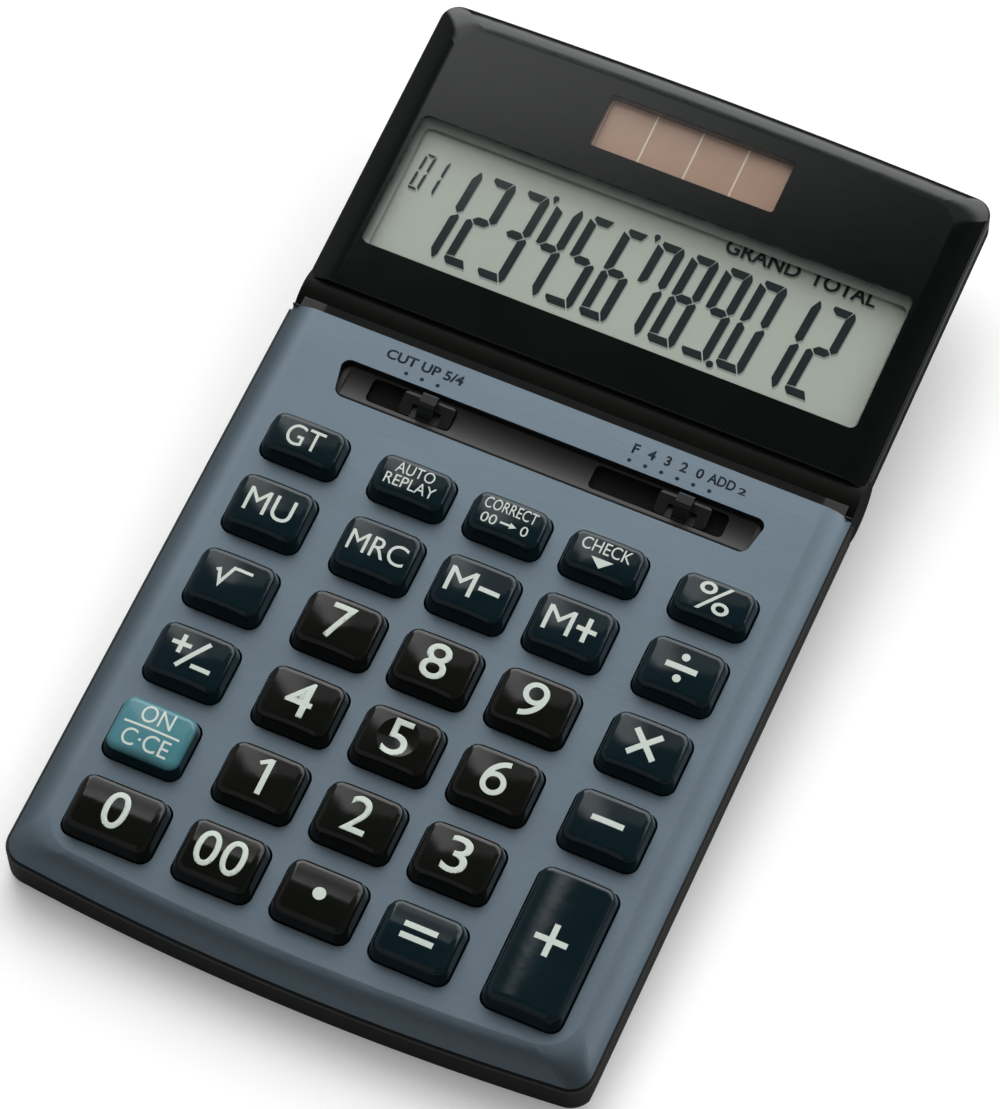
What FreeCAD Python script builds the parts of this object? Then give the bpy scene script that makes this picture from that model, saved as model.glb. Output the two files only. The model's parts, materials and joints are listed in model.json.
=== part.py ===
import FreeCAD, Part
import math
import os
import Sketcher

# Desk calculator with a tilting display. Lengths are millimetres, angles are degrees.
#
# The part's own frame has X to the right, Y away from the user and Z up, with its origin on the desk
# under the middle of the whole object. Its pieces are drawn in three frames. The desk frame is the
# same, but starts under the case's front edge. The keyboard frame lies on the sloping fascia: its Y
# runs up the slope from the front edge and its Z is zero on the fascia's flat top. The display frame
# starts on the hinge axis, with Y along the display and Z out of its face.

DRIVING_SIZES = {
    # how far the case's front edge lies in front of the part's origin
    "front_reach": 92.05,
    # slope of the fascia over the desk, and of the display over the fascia
    "fascia_tilt": 4.0,
    "display_tilt": 3.5,
    "foot_protrusion": 1.2,
    # case
    "case_half_width": 53.6,
    "case_corner": 4.5,
    "case_bow": 500.0,
    "case_front_depth": 10.0,
    "case_rear": 130.6,
    "case_wall": 1.6,
    "parting_depth": 7.5,
    "side_draft": 10.0,
    "rear_half_width": 51.6,
    "rim_depth": 2.9,
    # fascia plate
    "fascia_inset": 0.6,
    "fascia_thickness": 0.5,
    "fascia_rear": 117.9,
    "edge_roll": 5.0,
    "roll_drop": 2.3,
    "deck_thickness": 1.3,
    # key grid
    "key_pitch": 18.0,
    "outer_column": 38.3,
    "grid_shift": -0.15,
    "row_pitch": 15.5,
    "first_row": 9.8,
    "hole_width": 14.9,
    "hole_depth": 11.9,
    "top_hole_depth": 9.4,
    "zero_extra": 2.0,
    "hole_radius": 2.3,
    # keys
    "key_gap": 0.25,
    "key_height": 3.5,
    "side_slope": 0.75,
    "rear_slope": 0.45,
    "front_slope": 1.3,
    "key_edge": 1.4,
    "key_wall": 1.2,
    "key_roof": 1.3,
    "flange_margin": 0.5,
    "flange_drop": 2.0,
    "flange_thickness": 0.8,
    "stem_radius": 1.7,
    "stem_drop": 3.0,
    "dish_radius": 18.0,
    "dish_depth": 0.5,
    "dome_radius": 48.0,
    "crown_radius": 22.0,
    "tall_crown_radius": 40.0,
    # rubber sheet and circuit board
    "rubber_top": 4.7,
    "rubber_thickness": 0.7,
    "dome_base": 4.6,
    "dome_tip": 2.3,
    "dome_skin": 0.7,
    "board_thickness": 1.2,
    "board_half_width": 43.0,
    "board_front": 5.0,
    "board_rear": 113.0,
    "post_radius": 1.8,
    "post_column": 28.15,
    # switch trough
    "trough_half_length": 39.9,
    "trough_front": 103.8,
    "trough_rear": 111.2,
    "trough_depth": 1.4,
    "trough_floor": 1.2,
    "slot_front": 105.7,
    "slot_rear": 110.4,
    "detent": 3.0,
    "rounding_rest": -22.65,
    "decimal_rest": 25.65,
    "knob_half_width": 4.8,
    "knob_gap": 0.25,
    # hinge
    "hinge_y": 122.4,
    "hinge_drop": 6.6,
    "barrel_radius": 5.9,
    "barrel_bore": 4.4,
    "cradle_radius": 6.1,
    "cradle_wall": 1.5,
    "lip_drop": 1.0,
    "lug_centre": 30.0,
    "lug_half": 2.5,
    "lug_radius": 3.2,
    "lug_neck": 2.4,
    "lug_gap": 0.5,
    "web_thickness": 2.0,
    "pin_radius": 1.5,
    "running_gap": 0.06,
    # display unit
    "display_half_width": 53.0,
    "display_front": 2.06,
    "display_rear": 63.2,
    "display_face": 6.6,
    "display_parting": 2.2,
    "display_base": -2.6,
    "display_corner": 3.4,
    "display_bow": 1500.0,
    "display_roll": 5.2,
    "display_roll_drop": 1.7,
    "display_wall": 1.5,
    "window_half_width": 47.1,
    "window_front": 11.4,
    "window_rear": 38.9,
    "window_depth": 3.0,
    "window_draft": 0.8,
    "window_corner": 1.4,
    "solar_half_width": 17.6,
    "solar_front": 44.7,
    "solar_rear": 55.6,
    # battery, screws and feet
    "cell_radius": 5.8,
    "cell_thickness": 5.4,
    "screw_head_radius": 1.9,
    "screw_shank_radius": 0.95,
    "boss_column": 49.0,
    "boss_radius": 2.3,
    "foot_radius": 5.0,
    "foot_recess": 0.6,
}

X_AXIS = FreeCAD.Vector(1, 0, 0)
Y_AXIS = FreeCAD.Vector(0, 1, 0)
Z_AXIS = FreeCAD.Vector(0, 0, 1)
# Rotations that carry a cylinder's or sketch's own Z onto another axis
ALONG = {
    "x": FreeCAD.Rotation(Y_AXIS, 90),
    "y": FreeCAD.Rotation(X_AXIS, -90),
    "z": FreeCAD.Rotation(),
}
# Sketch planes: plan looks down on XY, side is the YZ plane, front is the XZ plane
PLANES = {
    "plan": FreeCAD.Rotation(),
    "side": FreeCAD.Rotation(FreeCAD.Vector(1, 1, 1), 120),
    "front": FreeCAD.Rotation(X_AXIS, 90),
}
FAR = 200.0


class Size:
    """A length that knows both its value and the sheet expression it comes from."""

    def __init__(self, value, text):
        self.value = float(value)
        self.text = text

    def __add__(self, other):
        other = as_size(other)
        return Size(self.value + other.value, f"({self.text} + {other.text})")

    def __sub__(self, other):
        other = as_size(other)
        return Size(self.value - other.value, f"({self.text} - {other.text})")

    def __mul__(self, other):
        other = as_size(other)
        return Size(self.value * other.value, f"({self.text} * {other.text})")

    def __truediv__(self, other):
        other = as_size(other)
        return Size(self.value / other.value, f"({self.text} / {other.text})")

    def __radd__(self, other):
        return as_size(other) + self

    def __rsub__(self, other):
        return as_size(other) - self

    def __rmul__(self, other):
        return as_size(other) * self

    def __neg__(self):
        return as_size(0) - self


def as_size(number):
    """A plain number as a Size, so that both mix freely."""
    if isinstance(number, Size):
        return number
    return Size(number, f"({float(number):.6f})")


def root(size):
    return Size(math.sqrt(size.value), f"sqrt({size.text})")


def sine(size):
    return Size(math.sin(math.radians(size.value)), f"sin({size.text})")


def cosine(size):
    return Size(math.cos(math.radians(size.value)), f"cos({size.text})")


class Sizes:
    """The driving sizes, one aliased cell each, read as attributes."""

    def __init__(self, document, table):
        self.sheet = document.addObject("Spreadsheet::Sheet", "Sizes")
        for row, (alias, value) in enumerate(table.items(), start=1):
            self.sheet.set(f"A{row}", alias)
            self.sheet.set(f"B{row}", str(value))
            self.sheet.setAlias(f"B{row}", alias)
            setattr(self, alias, Size(value, f"Sizes.{alias}"))


doc = FreeCAD.newDocument("desk_calculator")
S = Sizes(doc, DRIVING_SIZES)
doc.recompute()

# Where the keyboard frame and the hinge axis lie in the desk frame
KEYBOARD_Y = -S.case_front_depth * sine(S.fascia_tilt)
KEYBOARD_Z = S.foot_protrusion + S.case_front_depth * cosine(S.fascia_tilt)
HINGE_Y = KEYBOARD_Y + S.hinge_y * cosine(S.fascia_tilt) + S.hinge_drop * sine(S.fascia_tilt)
HINGE_Z = KEYBOARD_Z + S.hinge_y * sine(S.fascia_tilt) - S.hinge_drop * cosine(S.fascia_tilt)

sub_parts = []


def bind(item, path, size):
    """Bind one property of an object to the sheet."""
    item.setExpression(path, as_size(size).text)


def place(item, x, y, z, rotation=None):
    """Bind an object's position; its rotation stays as given."""
    values = [as_size(value).value for value in (x, y, z)]
    item.Placement = FreeCAD.Placement(FreeCAD.Vector(*values), rotation or FreeCAD.Rotation())
    bind(item, "Placement.Base.x", x)
    bind(item, "Placement.Base.y", y)
    bind(item, "Placement.Base.z", z)


def lay(item, angle, y, z):
    """Tilt an object about X and move it, all bound to the sheet."""
    place(item, 0, y, z, FreeCAD.Rotation(X_AXIS, as_size(angle).value))
    bind(item, "Placement.Rotation.Angle", angle)


def name_part(item, label):
    item.Label = label
    sub_parts.append(item)


def keyboard_part(item, label):
    """Finish a sub-part that is drawn in the keyboard frame."""
    lay(item, S.fascia_tilt, KEYBOARD_Y - S.front_reach, KEYBOARD_Z)
    name_part(item, label)


def display_part(item, label):
    """Finish a sub-part that is drawn in the display frame."""
    lay(item, S.fascia_tilt + S.display_tilt, HINGE_Y - S.front_reach, HINGE_Z)
    name_part(item, label)


def desk_part(item, label):
    """Finish a sub-part that is drawn in the desk frame."""
    place(item, 0, -S.front_reach, 0)
    name_part(item, label)


def from_desk(name, pieces):
    """Carry shapes drawn in the desk frame into the keyboard frame."""
    item = group(name, pieces)
    back_y = -KEYBOARD_Y * cosine(S.fascia_tilt) - KEYBOARD_Z * sine(S.fascia_tilt)
    back_z = KEYBOARD_Y * sine(S.fascia_tilt) - KEYBOARD_Z * cosine(S.fascia_tilt)
    lay(item, -S.fascia_tilt, back_y, back_z)
    return item


# Solids


def box(name, low, high):
    """A box from one corner to the opposite one."""
    item = doc.addObject("Part::Box", name)
    bind(item, "Length", as_size(high[0]) - low[0])
    bind(item, "Width", as_size(high[1]) - low[1])
    bind(item, "Height", as_size(high[2]) - low[2])
    place(item, *low)
    return item


def cylinder(name, radius, length, start, axis="z"):
    """A round bar from its start point along an axis."""
    item = doc.addObject("Part::Cylinder", name)
    bind(item, "Radius", radius)
    bind(item, "Height", length)
    place(item, *start, ALONG[axis])
    return item


def cone(name, low_radius, high_radius, height, start):
    item = doc.addObject("Part::Cone", name)
    bind(item, "Radius1", low_radius)
    bind(item, "Radius2", high_radius)
    bind(item, "Height", height)
    place(item, *start)
    return item


def join(name, pieces):
    if len(pieces) == 1:
        return pieces[0]
    item = doc.addObject("Part::MultiFuse", name)
    item.Shapes = pieces
    return item


def overlap(name, pieces):
    item = doc.addObject("Part::MultiCommon", name)
    item.Shapes = pieces
    return item


def cut(name, base, tools):
    item = doc.addObject("Part::Cut", name)
    item.Base = base
    item.Tool = join(name + "_tools", tools)
    return item


def group(name, pieces):
    """Separate solids that share one node, such as a set of equal screws."""
    item = doc.addObject("Part::Compound", name)
    item.Links = pieces
    return item


def arc_between(start, end, radius):
    """The shorter arc between two points; a negative radius turns clockwise."""
    if radius < 0:
        return arc_between(end, start, -radius)
    chord = end - start
    half = chord.Length / 2
    left = FreeCAD.Vector(-chord.y, chord.x, 0) / chord.Length
    centre = (start + end) / 2 + left * math.sqrt(max(radius * radius - half * half, 0))
    first = math.atan2(start.y - centre.y, start.x - centre.x)
    last = math.atan2(end.y - centre.y, end.x - centre.x)
    if last < first:
        last += 2 * math.pi
    return Part.ArcOfCircle(Part.Circle(centre, Z_AXIS, radius), first, last)


def draw(sketch, outline):
    """Draw a closed outline. Each corner is (u, v), or (u, v, radius) where an arc leaves it."""
    count = len(outline)
    points = []
    for corner in outline:
        points.append(FreeCAD.Vector(as_size(corner[0]).value, as_size(corner[1]).value, 0))
    starts = []
    for index, corner in enumerate(outline):
        here, there = points[index], points[(index + 1) % count]
        if len(corner) == 3:
            radius = as_size(corner[2])
            sketch.addGeometry(arc_between(here, there, radius.value), False)
            starts.append(1 if radius.value > 0 else 2)
        else:
            sketch.addGeometry(Part.LineSegment(here, there), False)
            starts.append(1)
    for index, corner in enumerate(outline):
        after = (index + 1) % count
        sketch.addConstraint(
            Sketcher.Constraint("Coincident", index, 3 - starts[index], after, starts[after])
        )
        for kind, size, value in (
            ("DistanceX", corner[0], points[index].x),
            ("DistanceY", corner[1], points[index].y),
        ):
            number = sketch.addConstraint(
                Sketcher.Constraint(kind, -1, 1, index, starts[index], value)
            )
            bind(sketch, f"Constraints[{number}]", size)
        if len(corner) == 3:
            radius = as_size(corner[2])
            size = radius if radius.value > 0 else -radius
            number = sketch.addConstraint(Sketcher.Constraint("Radius", index, size.value))
            bind(sketch, f"Constraints[{number}]", size)


def prism(name, plane, outline, low, high):
    """An outline in one of the three planes, extruded from low to high along its normal."""
    sketch = doc.addObject("Sketcher::SketchObject", name + "_outline")
    sketch.Placement = FreeCAD.Placement(FreeCAD.Vector(), PLANES[plane])
    draw(sketch, outline)
    item = doc.addObject("Part::Extrusion", name)
    item.Base = sketch
    item.DirMode = "Custom"
    item.Dir = {"plan": Z_AXIS, "side": X_AXIS, "front": Y_AXIS}[plane]
    item.Solid = True
    bind(item, "LengthFwd", high)
    bind(item, "LengthRev", -as_size(low))
    return item


def rounded(x0, x1, y0, y1, radius):
    """The corners of a rounded rectangle, anticlockwise."""
    return [
        (x0 + radius, y0),
        (x1 - radius, y0, radius),
        (x1, y0 + radius),
        (x1, y1 - radius, radius),
        (x1 - radius, y1),
        (x0 + radius, y1, radius),
        (x0, y1 - radius),
        (x0, y0 + radius, radius),
    ]


def slab(name, low, high):
    """A flat plate with slightly rounded corners, between two opposite corners."""
    x0, y0, z0 = (as_size(value) for value in low)
    x1, y1, z1 = (as_size(value) for value in high)
    return prism(name, "plan", rounded(x0, x1, y0, y1, as_size(0.5)), z0, z1)


def loft(name, outlines, heights, smooth=False):
    """A solid between rounded plan outlines at given heights, ruled or as one smooth skin."""
    sections = []
    for number, (outline, height) in enumerate(zip(outlines, heights)):
        sketch = doc.addObject("Sketcher::SketchObject", f"{name}_section{number}")
        draw(sketch, outline)
        place(sketch, 0, 0, height)
        sections.append(sketch)
    item = doc.addObject("Part::Loft", name)
    item.Sections = sections
    item.Solid = True
    item.Ruled = not smooth
    return item


def fillet(name, base, radius, wanted):
    """Round the edges that wanted() picks."""
    doc.recompute()
    item = doc.addObject("Part::Fillet", name)
    item.Base = base
    item.Edges = [
        (number, radius.value, radius.value)
        for number, edge in enumerate(base.Shape.Edges, start=1)
        if wanted(edge)
    ]
    return item


# Case shapes


def bowed_outline(half_width, front, rear, corner, bow):
    """A plan outline with a bowed front edge and rounded front corners."""
    reach = bow - corner
    corner_y = front + bow - root(reach * reach - (half_width - corner) * (half_width - corner))
    touch_x = bow * (half_width - corner) / reach
    touch_y = front + bow - bow * (front + bow - corner_y) / reach
    return [
        (-half_width, rear),
        (-half_width, corner_y, corner),
        (-touch_x, touch_y, bow),
        (touch_x, touch_y, corner),
        (half_width, corner_y),
        (half_width, rear),
    ]


def crown_block(name, inset, depth):
    """The fascia's form: flat on top, rolled down at both sides and along the bowed front edge.

    inset moves its whole surface inwards, so two of them make a plate. The roll is a smooth skin
    over contours, whose corners grow rounder towards the top.
    """
    radius = (S.edge_roll * S.edge_roll + S.roll_drop * S.roll_drop) / (2 * S.roll_drop)
    inner = radius - inset
    outlines, heights = [], []
    steps = 5
    for step in range(steps + 1):
        run = (S.edge_roll - inset) * (1 - step / steps)
        edge = S.edge_roll - run
        side = S.fascia_inset + edge
        corner = S.case_corner - S.fascia_inset - inset + 0.5 * (edge - inset)
        outlines.append(
            bowed_outline(S.case_half_width - side, side, S.fascia_rear, corner, S.case_bow - side)
        )
        heights.append(root(inner * inner - run * run) - radius)
    roll = loft(name + "_roll", outlines, heights, smooth=True)
    skirt = prism(name + "_skirt", "plan", outlines[0], -depth, heights[0])
    return join(name, [skirt, roll])


def key_layout():
    """Every key: its name, the column and row of its opening, and its form."""
    names = [
        ["grand_total", "memory_markup", "square_root", "sign_change", "on_clear", "zero"],
        ["auto_replay", "memory_recall", "seven", "four", "one", "double_zero"],
        ["correct", "memory_minus", "eight", "five", "two", "decimal_point"],
        ["check", "memory_plus", "nine", "six", "three", "equals"],
        ["percent", "divide", "multiply", "minus", "plus"],
    ]
    columns = [-S.outer_column, -S.key_pitch, as_size(0), S.key_pitch, S.outer_column]
    keys = []
    for column, labels in zip(columns, names):
        for step, label in enumerate(labels):
            row = 5 - step
            front = S.first_row + row * S.row_pitch
            depth = S.top_hole_depth if step == 0 else S.hole_depth
            if label == "plus":
                front = S.first_row
                depth = S.row_pitch + S.hole_depth
            left = column + S.grid_shift - S.hole_width / 2
            right = left + S.hole_width
            if label == "zero":
                right = right + S.zero_extra
            domes = [front + depth / 2]
            if label == "plus":
                domes = [front + S.hole_depth / 2, front + S.row_pitch + S.hole_depth / 2]
            keys.append(
                {
                    "label": "key_" + label,
                    "left": left,
                    "right": right,
                    "front": front,
                    "rear": front + depth,
                    "centre": left + S.hole_width / 2,
                    "domes": domes,
                    "crowned": row == 0 and label != "plus",
                }
            )
    return keys


KEYS = key_layout()


def key_openings(name, margin, low, high):
    """One cutting block per key, wider than the fascia's opening by margin all round."""
    blocks = []
    for key in KEYS:
        outline = rounded(
            key["left"] - margin,
            key["right"] + margin,
            key["front"] - margin,
            key["rear"] + margin,
            S.hole_radius,
        )
        blocks.append(prism(f"{name}_{key['label']}", "plan", outline, low, high))
    return blocks


def trough_outline(margin):
    """The switch trough narrows a little towards the user."""
    half = S.trough_half_length + margin
    front = S.trough_front - margin
    rear = S.trough_rear + margin
    shift = S.grid_shift + 0.3
    return [
        (shift - half + 2.6, front),
        (shift + half - 2.6, front, as_size(1.9)),
        (shift + half - 0.9, front + 1.4),
        (shift + half, rear - 1.6, as_size(1.7)),
        (shift + half - 1.5, rear),
        (shift - half + 1.5, rear, as_size(1.7)),
        (shift - half, rear - 1.6),
        (shift - half + 0.9, front + 1.4, as_size(1.9)),
    ]


SWITCHES = {
    # name: rest place, detents to its left, detents to its right
    "rounding": (S.rounding_rest, 2, 0),
    "decimal": (S.decimal_rest, 4, 1),
}


def slot_span(switch):
    rest, left, right = SWITCHES[switch]
    reach = S.knob_half_width + S.knob_gap
    return rest - left * S.detent - reach, rest + right * S.detent + reach


BOSS_ROWS = [14.0, 62.0, 99.0]
POST_ROWS = [24.55, 55.55, 86.5]


def mirrored(column, rows):
    """Places on both sides of the middle plane."""
    return [(side * column, as_size(row)) for row in rows for side in (-1, 1)]


def build_fascia_plate():
    outer = crown_block("fascia_outer", as_size(0), S.rim_depth)
    inner = crown_block("fascia_inner", S.fascia_thickness, S.rim_depth + 1)
    openings = key_openings("fascia_hole", as_size(0), -2, 2)
    trough = prism("fascia_trough", "plan", trough_outline(as_size(0)), -2, 2)
    barrel = hinge_bar("fascia_barrel_room", S.cradle_radius, as_size(60.0))
    plate = cut("fascia_plate_body", outer, [inner, trough, barrel] + openings)
    keyboard_part(plate, "fascia_plate")


def hinge_bar(name, radius, half_length):
    """A cylinder on the hinge axis in the keyboard frame."""
    return cylinder(
        name, radius, 2 * half_length, (-half_length, S.hinge_y, -S.hinge_drop), "x"
    )


def rear_sides(name, half_width, clearance):
    """Blocks that cover both sides behind the fascia, where the display's cheeks reach down."""
    front = S.fascia_rear + clearance
    return [
        box(f"{name}_right", (half_width, front, -FAR), (FAR, FAR, 0)),
        box(f"{name}_left", (-FAR, front, -FAR), (-half_width, FAR, 0)),
    ]


def build_top_case():
    crown = crown_block("top_crown", S.fascia_thickness, S.parting_depth)
    rim = prism(
        "top_rim",
        "plan",
        bowed_outline(S.case_half_width, as_size(0), S.hinge_y, S.case_corner, S.case_bow),
        -S.parting_depth,
        -S.rim_depth,
    )
    lip = box(
        "top_lip",
        (-(S.case_half_width - S.fascia_inset), S.fascia_rear, -S.parting_depth),
        (S.case_half_width - S.fascia_inset, S.hinge_y - 2.0, -S.lip_drop),
    )
    solid = join("top_solid", [crown, rim, lip])
    roof = -(S.fascia_thickness + S.deck_thickness)
    side = S.case_half_width - S.edge_roll
    upper_room = box("top_upper_room", (-side, 5.2, -FAR), (side, 114.0, roof))
    wall_inner = S.case_half_width - S.case_wall
    lower_room = prism(
        "top_lower_room",
        "plan",
        bowed_outline(
            wall_inner, S.case_wall, as_size(114.0), S.case_corner - S.case_wall, S.case_bow
        ),
        -FAR,
        -S.rim_depth - 1.3,
    )
    barrel_room = hinge_bar("top_barrel_room", S.cradle_radius, as_size(60.0))
    gate = box("top_ribbon_gate", (-9.0, 112.0, -8.6), (9.0, S.hinge_y, -5.0))
    plate_way = box("plate_way", (-side - 1, 103.6, -4.4), (side + 1, 112.8, -2.7))
    rooms = [upper_room, lower_room, barrel_room, gate, plate_way]
    shell = cut("top_shell", solid, rooms + rear_sides("top_rear", S.rear_half_width, 0.2))
    trough_block = box(
        "trough_block",
        (-S.trough_half_length - 1.4, S.trough_front - 1.2, -(S.trough_depth + S.trough_floor)),
        (S.trough_half_length + 1.6, S.trough_rear + 1.2, -S.fascia_thickness),
    )
    posts = [
        cylinder(f"post_{n}", S.post_radius, S.rubber_top + S.rubber_thickness + roof,
                 (x, y, -(S.rubber_top + S.rubber_thickness)))
        for n, (x, y) in enumerate(mirrored(S.post_column, POST_ROWS))
    ]
    bosses = [
        cylinder(f"boss_{n}", S.boss_radius, S.parting_depth - 1.9, (x, y, -S.parting_depth))
        for n, (x, y) in enumerate(mirrored(S.boss_column, BOSS_ROWS))
    ]
    filled = join("top_filled", [shell, trough_block] + posts + bosses)
    tools = key_openings("deck_hole", as_size(0.1), -4, 1)
    tools.append(prism("trough_room", "plan", trough_outline(as_size(0)), -S.trough_depth, 1))
    dish = S.trough_depth + 0.5
    tools.append(
        cylinder(
            "trough_dish",
            12.0,
            2 * (S.trough_half_length - 1.4),
            (-S.trough_half_length + 1.6, (S.trough_front + S.trough_rear) / 2, 12.0 - dish),
            "x",
        )
    )
    for switch in SWITCHES:
        low, high = slot_span(switch)
        outline = rounded(low, high, S.slot_front, S.slot_rear, as_size(1.0))
        tools.append(prism(f"{switch}_slot", "plan", outline, -4, 1))
    for n, (x, y) in enumerate(mirrored(S.post_column, POST_ROWS)):
        depth = S.rubber_top + S.rubber_thickness
        tools.append(cylinder(f"post_hole_{n}", S.screw_shank_radius, 2.4, (x, y, -depth)))
    for n, (x, y) in enumerate(mirrored(S.boss_column, BOSS_ROWS)):
        tools.append(
            cylinder(f"boss_hole_{n}", S.screw_shank_radius, 4.0, (x, y, -S.parting_depth))
        )
    keyboard_part(cut("top_case_body", filled, tools), "top_case")


def base_drop(y):
    """Depth of the underside below the fascia plane at a distance up the slope."""
    slope = sine(S.fascia_tilt) / cosine(S.fascia_tilt)
    return S.case_front_depth + slope * y


def base_profile(name, wall, rear_top):
    """The lower shell's side outline, extruded right across; wall insets it."""
    front = wall
    rear = S.case_rear - wall
    return prism(
        name,
        "side",
        [
            (front, -S.parting_depth),
            (front, -(base_drop(front) - wall)),
            (rear, -(base_drop(rear) - wall)),
            (rear, -rear_top),
            (S.hinge_y, -rear_top),
            (S.hinge_y - 6.6, -S.parting_depth),
        ],
        -FAR,
        FAR,
    )


FOOT_PLACES = [(-42.0, 11.0), (42.0, 11.0), (-42.0, 118.0), (42.0, 118.0)]
WELL = {"left": -35.5, "right": -8.0, "front": 88.9, "rear": 105.1, "roof": 10.4}
COVER_THICKNESS = 1.5
CELL_PLACE = (-24.0, 97.0)
COVER_SCREW_PLACE = (-11.6, 97.0)


def battery_well_block():
    return box(
        "well_block",
        (WELL["left"], WELL["front"], S.foot_protrusion),
        (WELL["right"], WELL["rear"], as_size(WELL["roof"])),
    )


def battery_well_rooms():
    """The cover's recess, the round cell room and the cover screw's hole, from below."""
    floor = S.foot_protrusion
    recess = box(
        "cover_recess",
        (WELL["left"] + 1.2, WELL["front"] + 1.2, floor - 1),
        (WELL["right"] - 1.2, WELL["rear"] - 1.2, floor + COVER_THICKNESS),
    )
    cell_x, cell_y = CELL_PLACE
    room = cylinder(
        "cell_room", S.cell_radius + 0.4, WELL["roof"] - 1.2 - floor.value, (cell_x, cell_y, floor)
    )
    screw_x, screw_y = COVER_SCREW_PLACE
    thread = cylinder("cover_thread", S.screw_shank_radius, 6.0, (screw_x, screw_y, floor))
    return [recess, room, thread]


def drafted_block(name, wall, rear_top):
    """The lower shell's block, with sides that draw in below the parting line; wall insets it."""
    plan = prism(
        name + "_plan",
        "plan",
        bowed_outline(
            S.case_half_width - wall, wall, S.case_rear, S.case_corner - wall, S.case_bow
        ),
        -FAR / 4,
        0,
    )
    slope = sine(S.side_draft) / cosine(S.side_draft)
    depth = as_size(18.0)
    wide = S.case_half_width - wall
    narrow = wide - slope * depth
    across = prism(
        name + "_across",
        "front",
        [
            (-narrow, -(S.parting_depth + depth)),
            (narrow, -(S.parting_depth + depth)),
            (wide, -S.parting_depth),
            (wide, as_size(0)),
            (-wide, as_size(0)),
            (-wide, -S.parting_depth),
        ],
        -FAR,
        FAR,
    )
    return overlap(name, [plan, across, base_profile(name + "_side", wall, as_size(rear_top))])


def build_bottom_case():
    block = drafted_block("base_block", as_size(0), 11.1)
    rounded_block = fillet("base_rounded", block, as_size(1.0), is_bottom_edge)
    edged = cut("base_edged", rounded_block, rear_sides("base_rear", S.rear_half_width, 0.2))
    room_block = drafted_block("room_block", S.case_wall, 13.4)
    cradle = hinge_bar("cradle_outside", S.cradle_radius + S.cradle_wall, as_size(60.0))
    rear_walls = rear_sides("room_rear", S.rear_half_width - S.case_wall, -S.case_wall)
    room = cut("room", room_block, [cradle] + rear_walls)
    barrel_room = hinge_bar("base_barrel_room", S.cradle_radius, as_size(60.0))
    ribbon_gate = box("ribbon_gate", (-9.0, 110.0, -8.6), (9.0, S.hinge_y, -5.0))
    shell = cut("base_shell", edged, [room, barrel_room, ribbon_gate])
    added = [shell, from_desk("well_in_place", [battery_well_block()])]
    for n, (x, y) in enumerate(mirrored(S.boss_column, BOSS_ROWS)):
        depth = base_drop(y) - 0.8
        added.append(
            cylinder(f"well_{n}", S.boss_radius + 0.3, depth - S.parting_depth, (x, y, -depth))
        )
    for side in (-1, 1):
        low = side * S.lug_centre - S.lug_half
        reach = S.cradle_radius + 1.0
        added.append(
            box(
                f"lug_foot_{side + 1}",
                (low, S.hinge_y - S.lug_neck, -(S.hinge_drop + reach)),
                (low + 2 * S.lug_half, S.hinge_y + S.lug_neck, -S.hinge_drop),
            )
        )
        added.append(
            cylinder(
                f"lug_head_{side + 1}", S.lug_radius, 2 * S.lug_half,
                (low, S.hinge_y, -S.hinge_drop), "x",
            )
        )
    solid = join("base_solid", added)
    tools = [hinge_bar("lug_bore", S.pin_radius, as_size(40.0))]
    for n, (x, y) in enumerate(mirrored(S.boss_column, BOSS_ROWS)):
        depth = base_drop(y) + 0.5
        tools.append(
            cylinder(f"screw_well_{n}", S.screw_head_radius + 0.1,
                     depth - S.parting_depth - 1.4, (x, y, -depth))
        )
        tools.append(cylinder(f"screw_way_{n}", S.screw_shank_radius, depth, (x, y, -depth)))
    desk_tools = battery_well_rooms()
    for n, (x, y) in enumerate(FOOT_PLACES):
        desk_tools.append(
            cylinder(f"foot_room_{n}", S.foot_radius, S.foot_recess + 1,
                     (x, y, S.foot_protrusion - 1))
        )
    tools.append(from_desk("desk_tools", desk_tools))
    keyboard_part(cut("bottom_case_body", solid, tools), "bottom_case")


def is_bottom_edge(edge):
    """Edges that lie wholly on the sloping underside of the lower shell."""
    for point in (edge.Vertexes[0].Point, edge.Vertexes[-1].Point, edge.valueAt(mid(edge))):
        if abs(point.z + base_drop(as_size(point.y)).value) > 0.01:
            return False
    return abs(edge.Vertexes[0].Point.y - S.case_rear.value) > 0.01 or edge.Length < FAR


def mid(edge):
    return (edge.FirstParameter + edge.LastParameter) / 2


# Keys


def body_sketch(body, name, outline, height):
    """A sketch on the body's own XY plane, raised to a height."""
    sketch = body.newObject("Sketcher::SketchObject", name)
    plane = [f for f in body.Origin.OriginFeatures if f.Role == "XY_Plane"][0]
    sketch.AttachmentSupport = [(plane, "")]
    sketch.MapMode = "FlatFace"
    bind(sketch, "AttachmentOffset.Base.z", height)
    draw(sketch, outline)
    return sketch


def pad(body, name, sketch, length):
    item = body.newObject("PartDesign::Pad", name)
    item.Profile = sketch
    bind(item, "Length", length)
    return item


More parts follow.
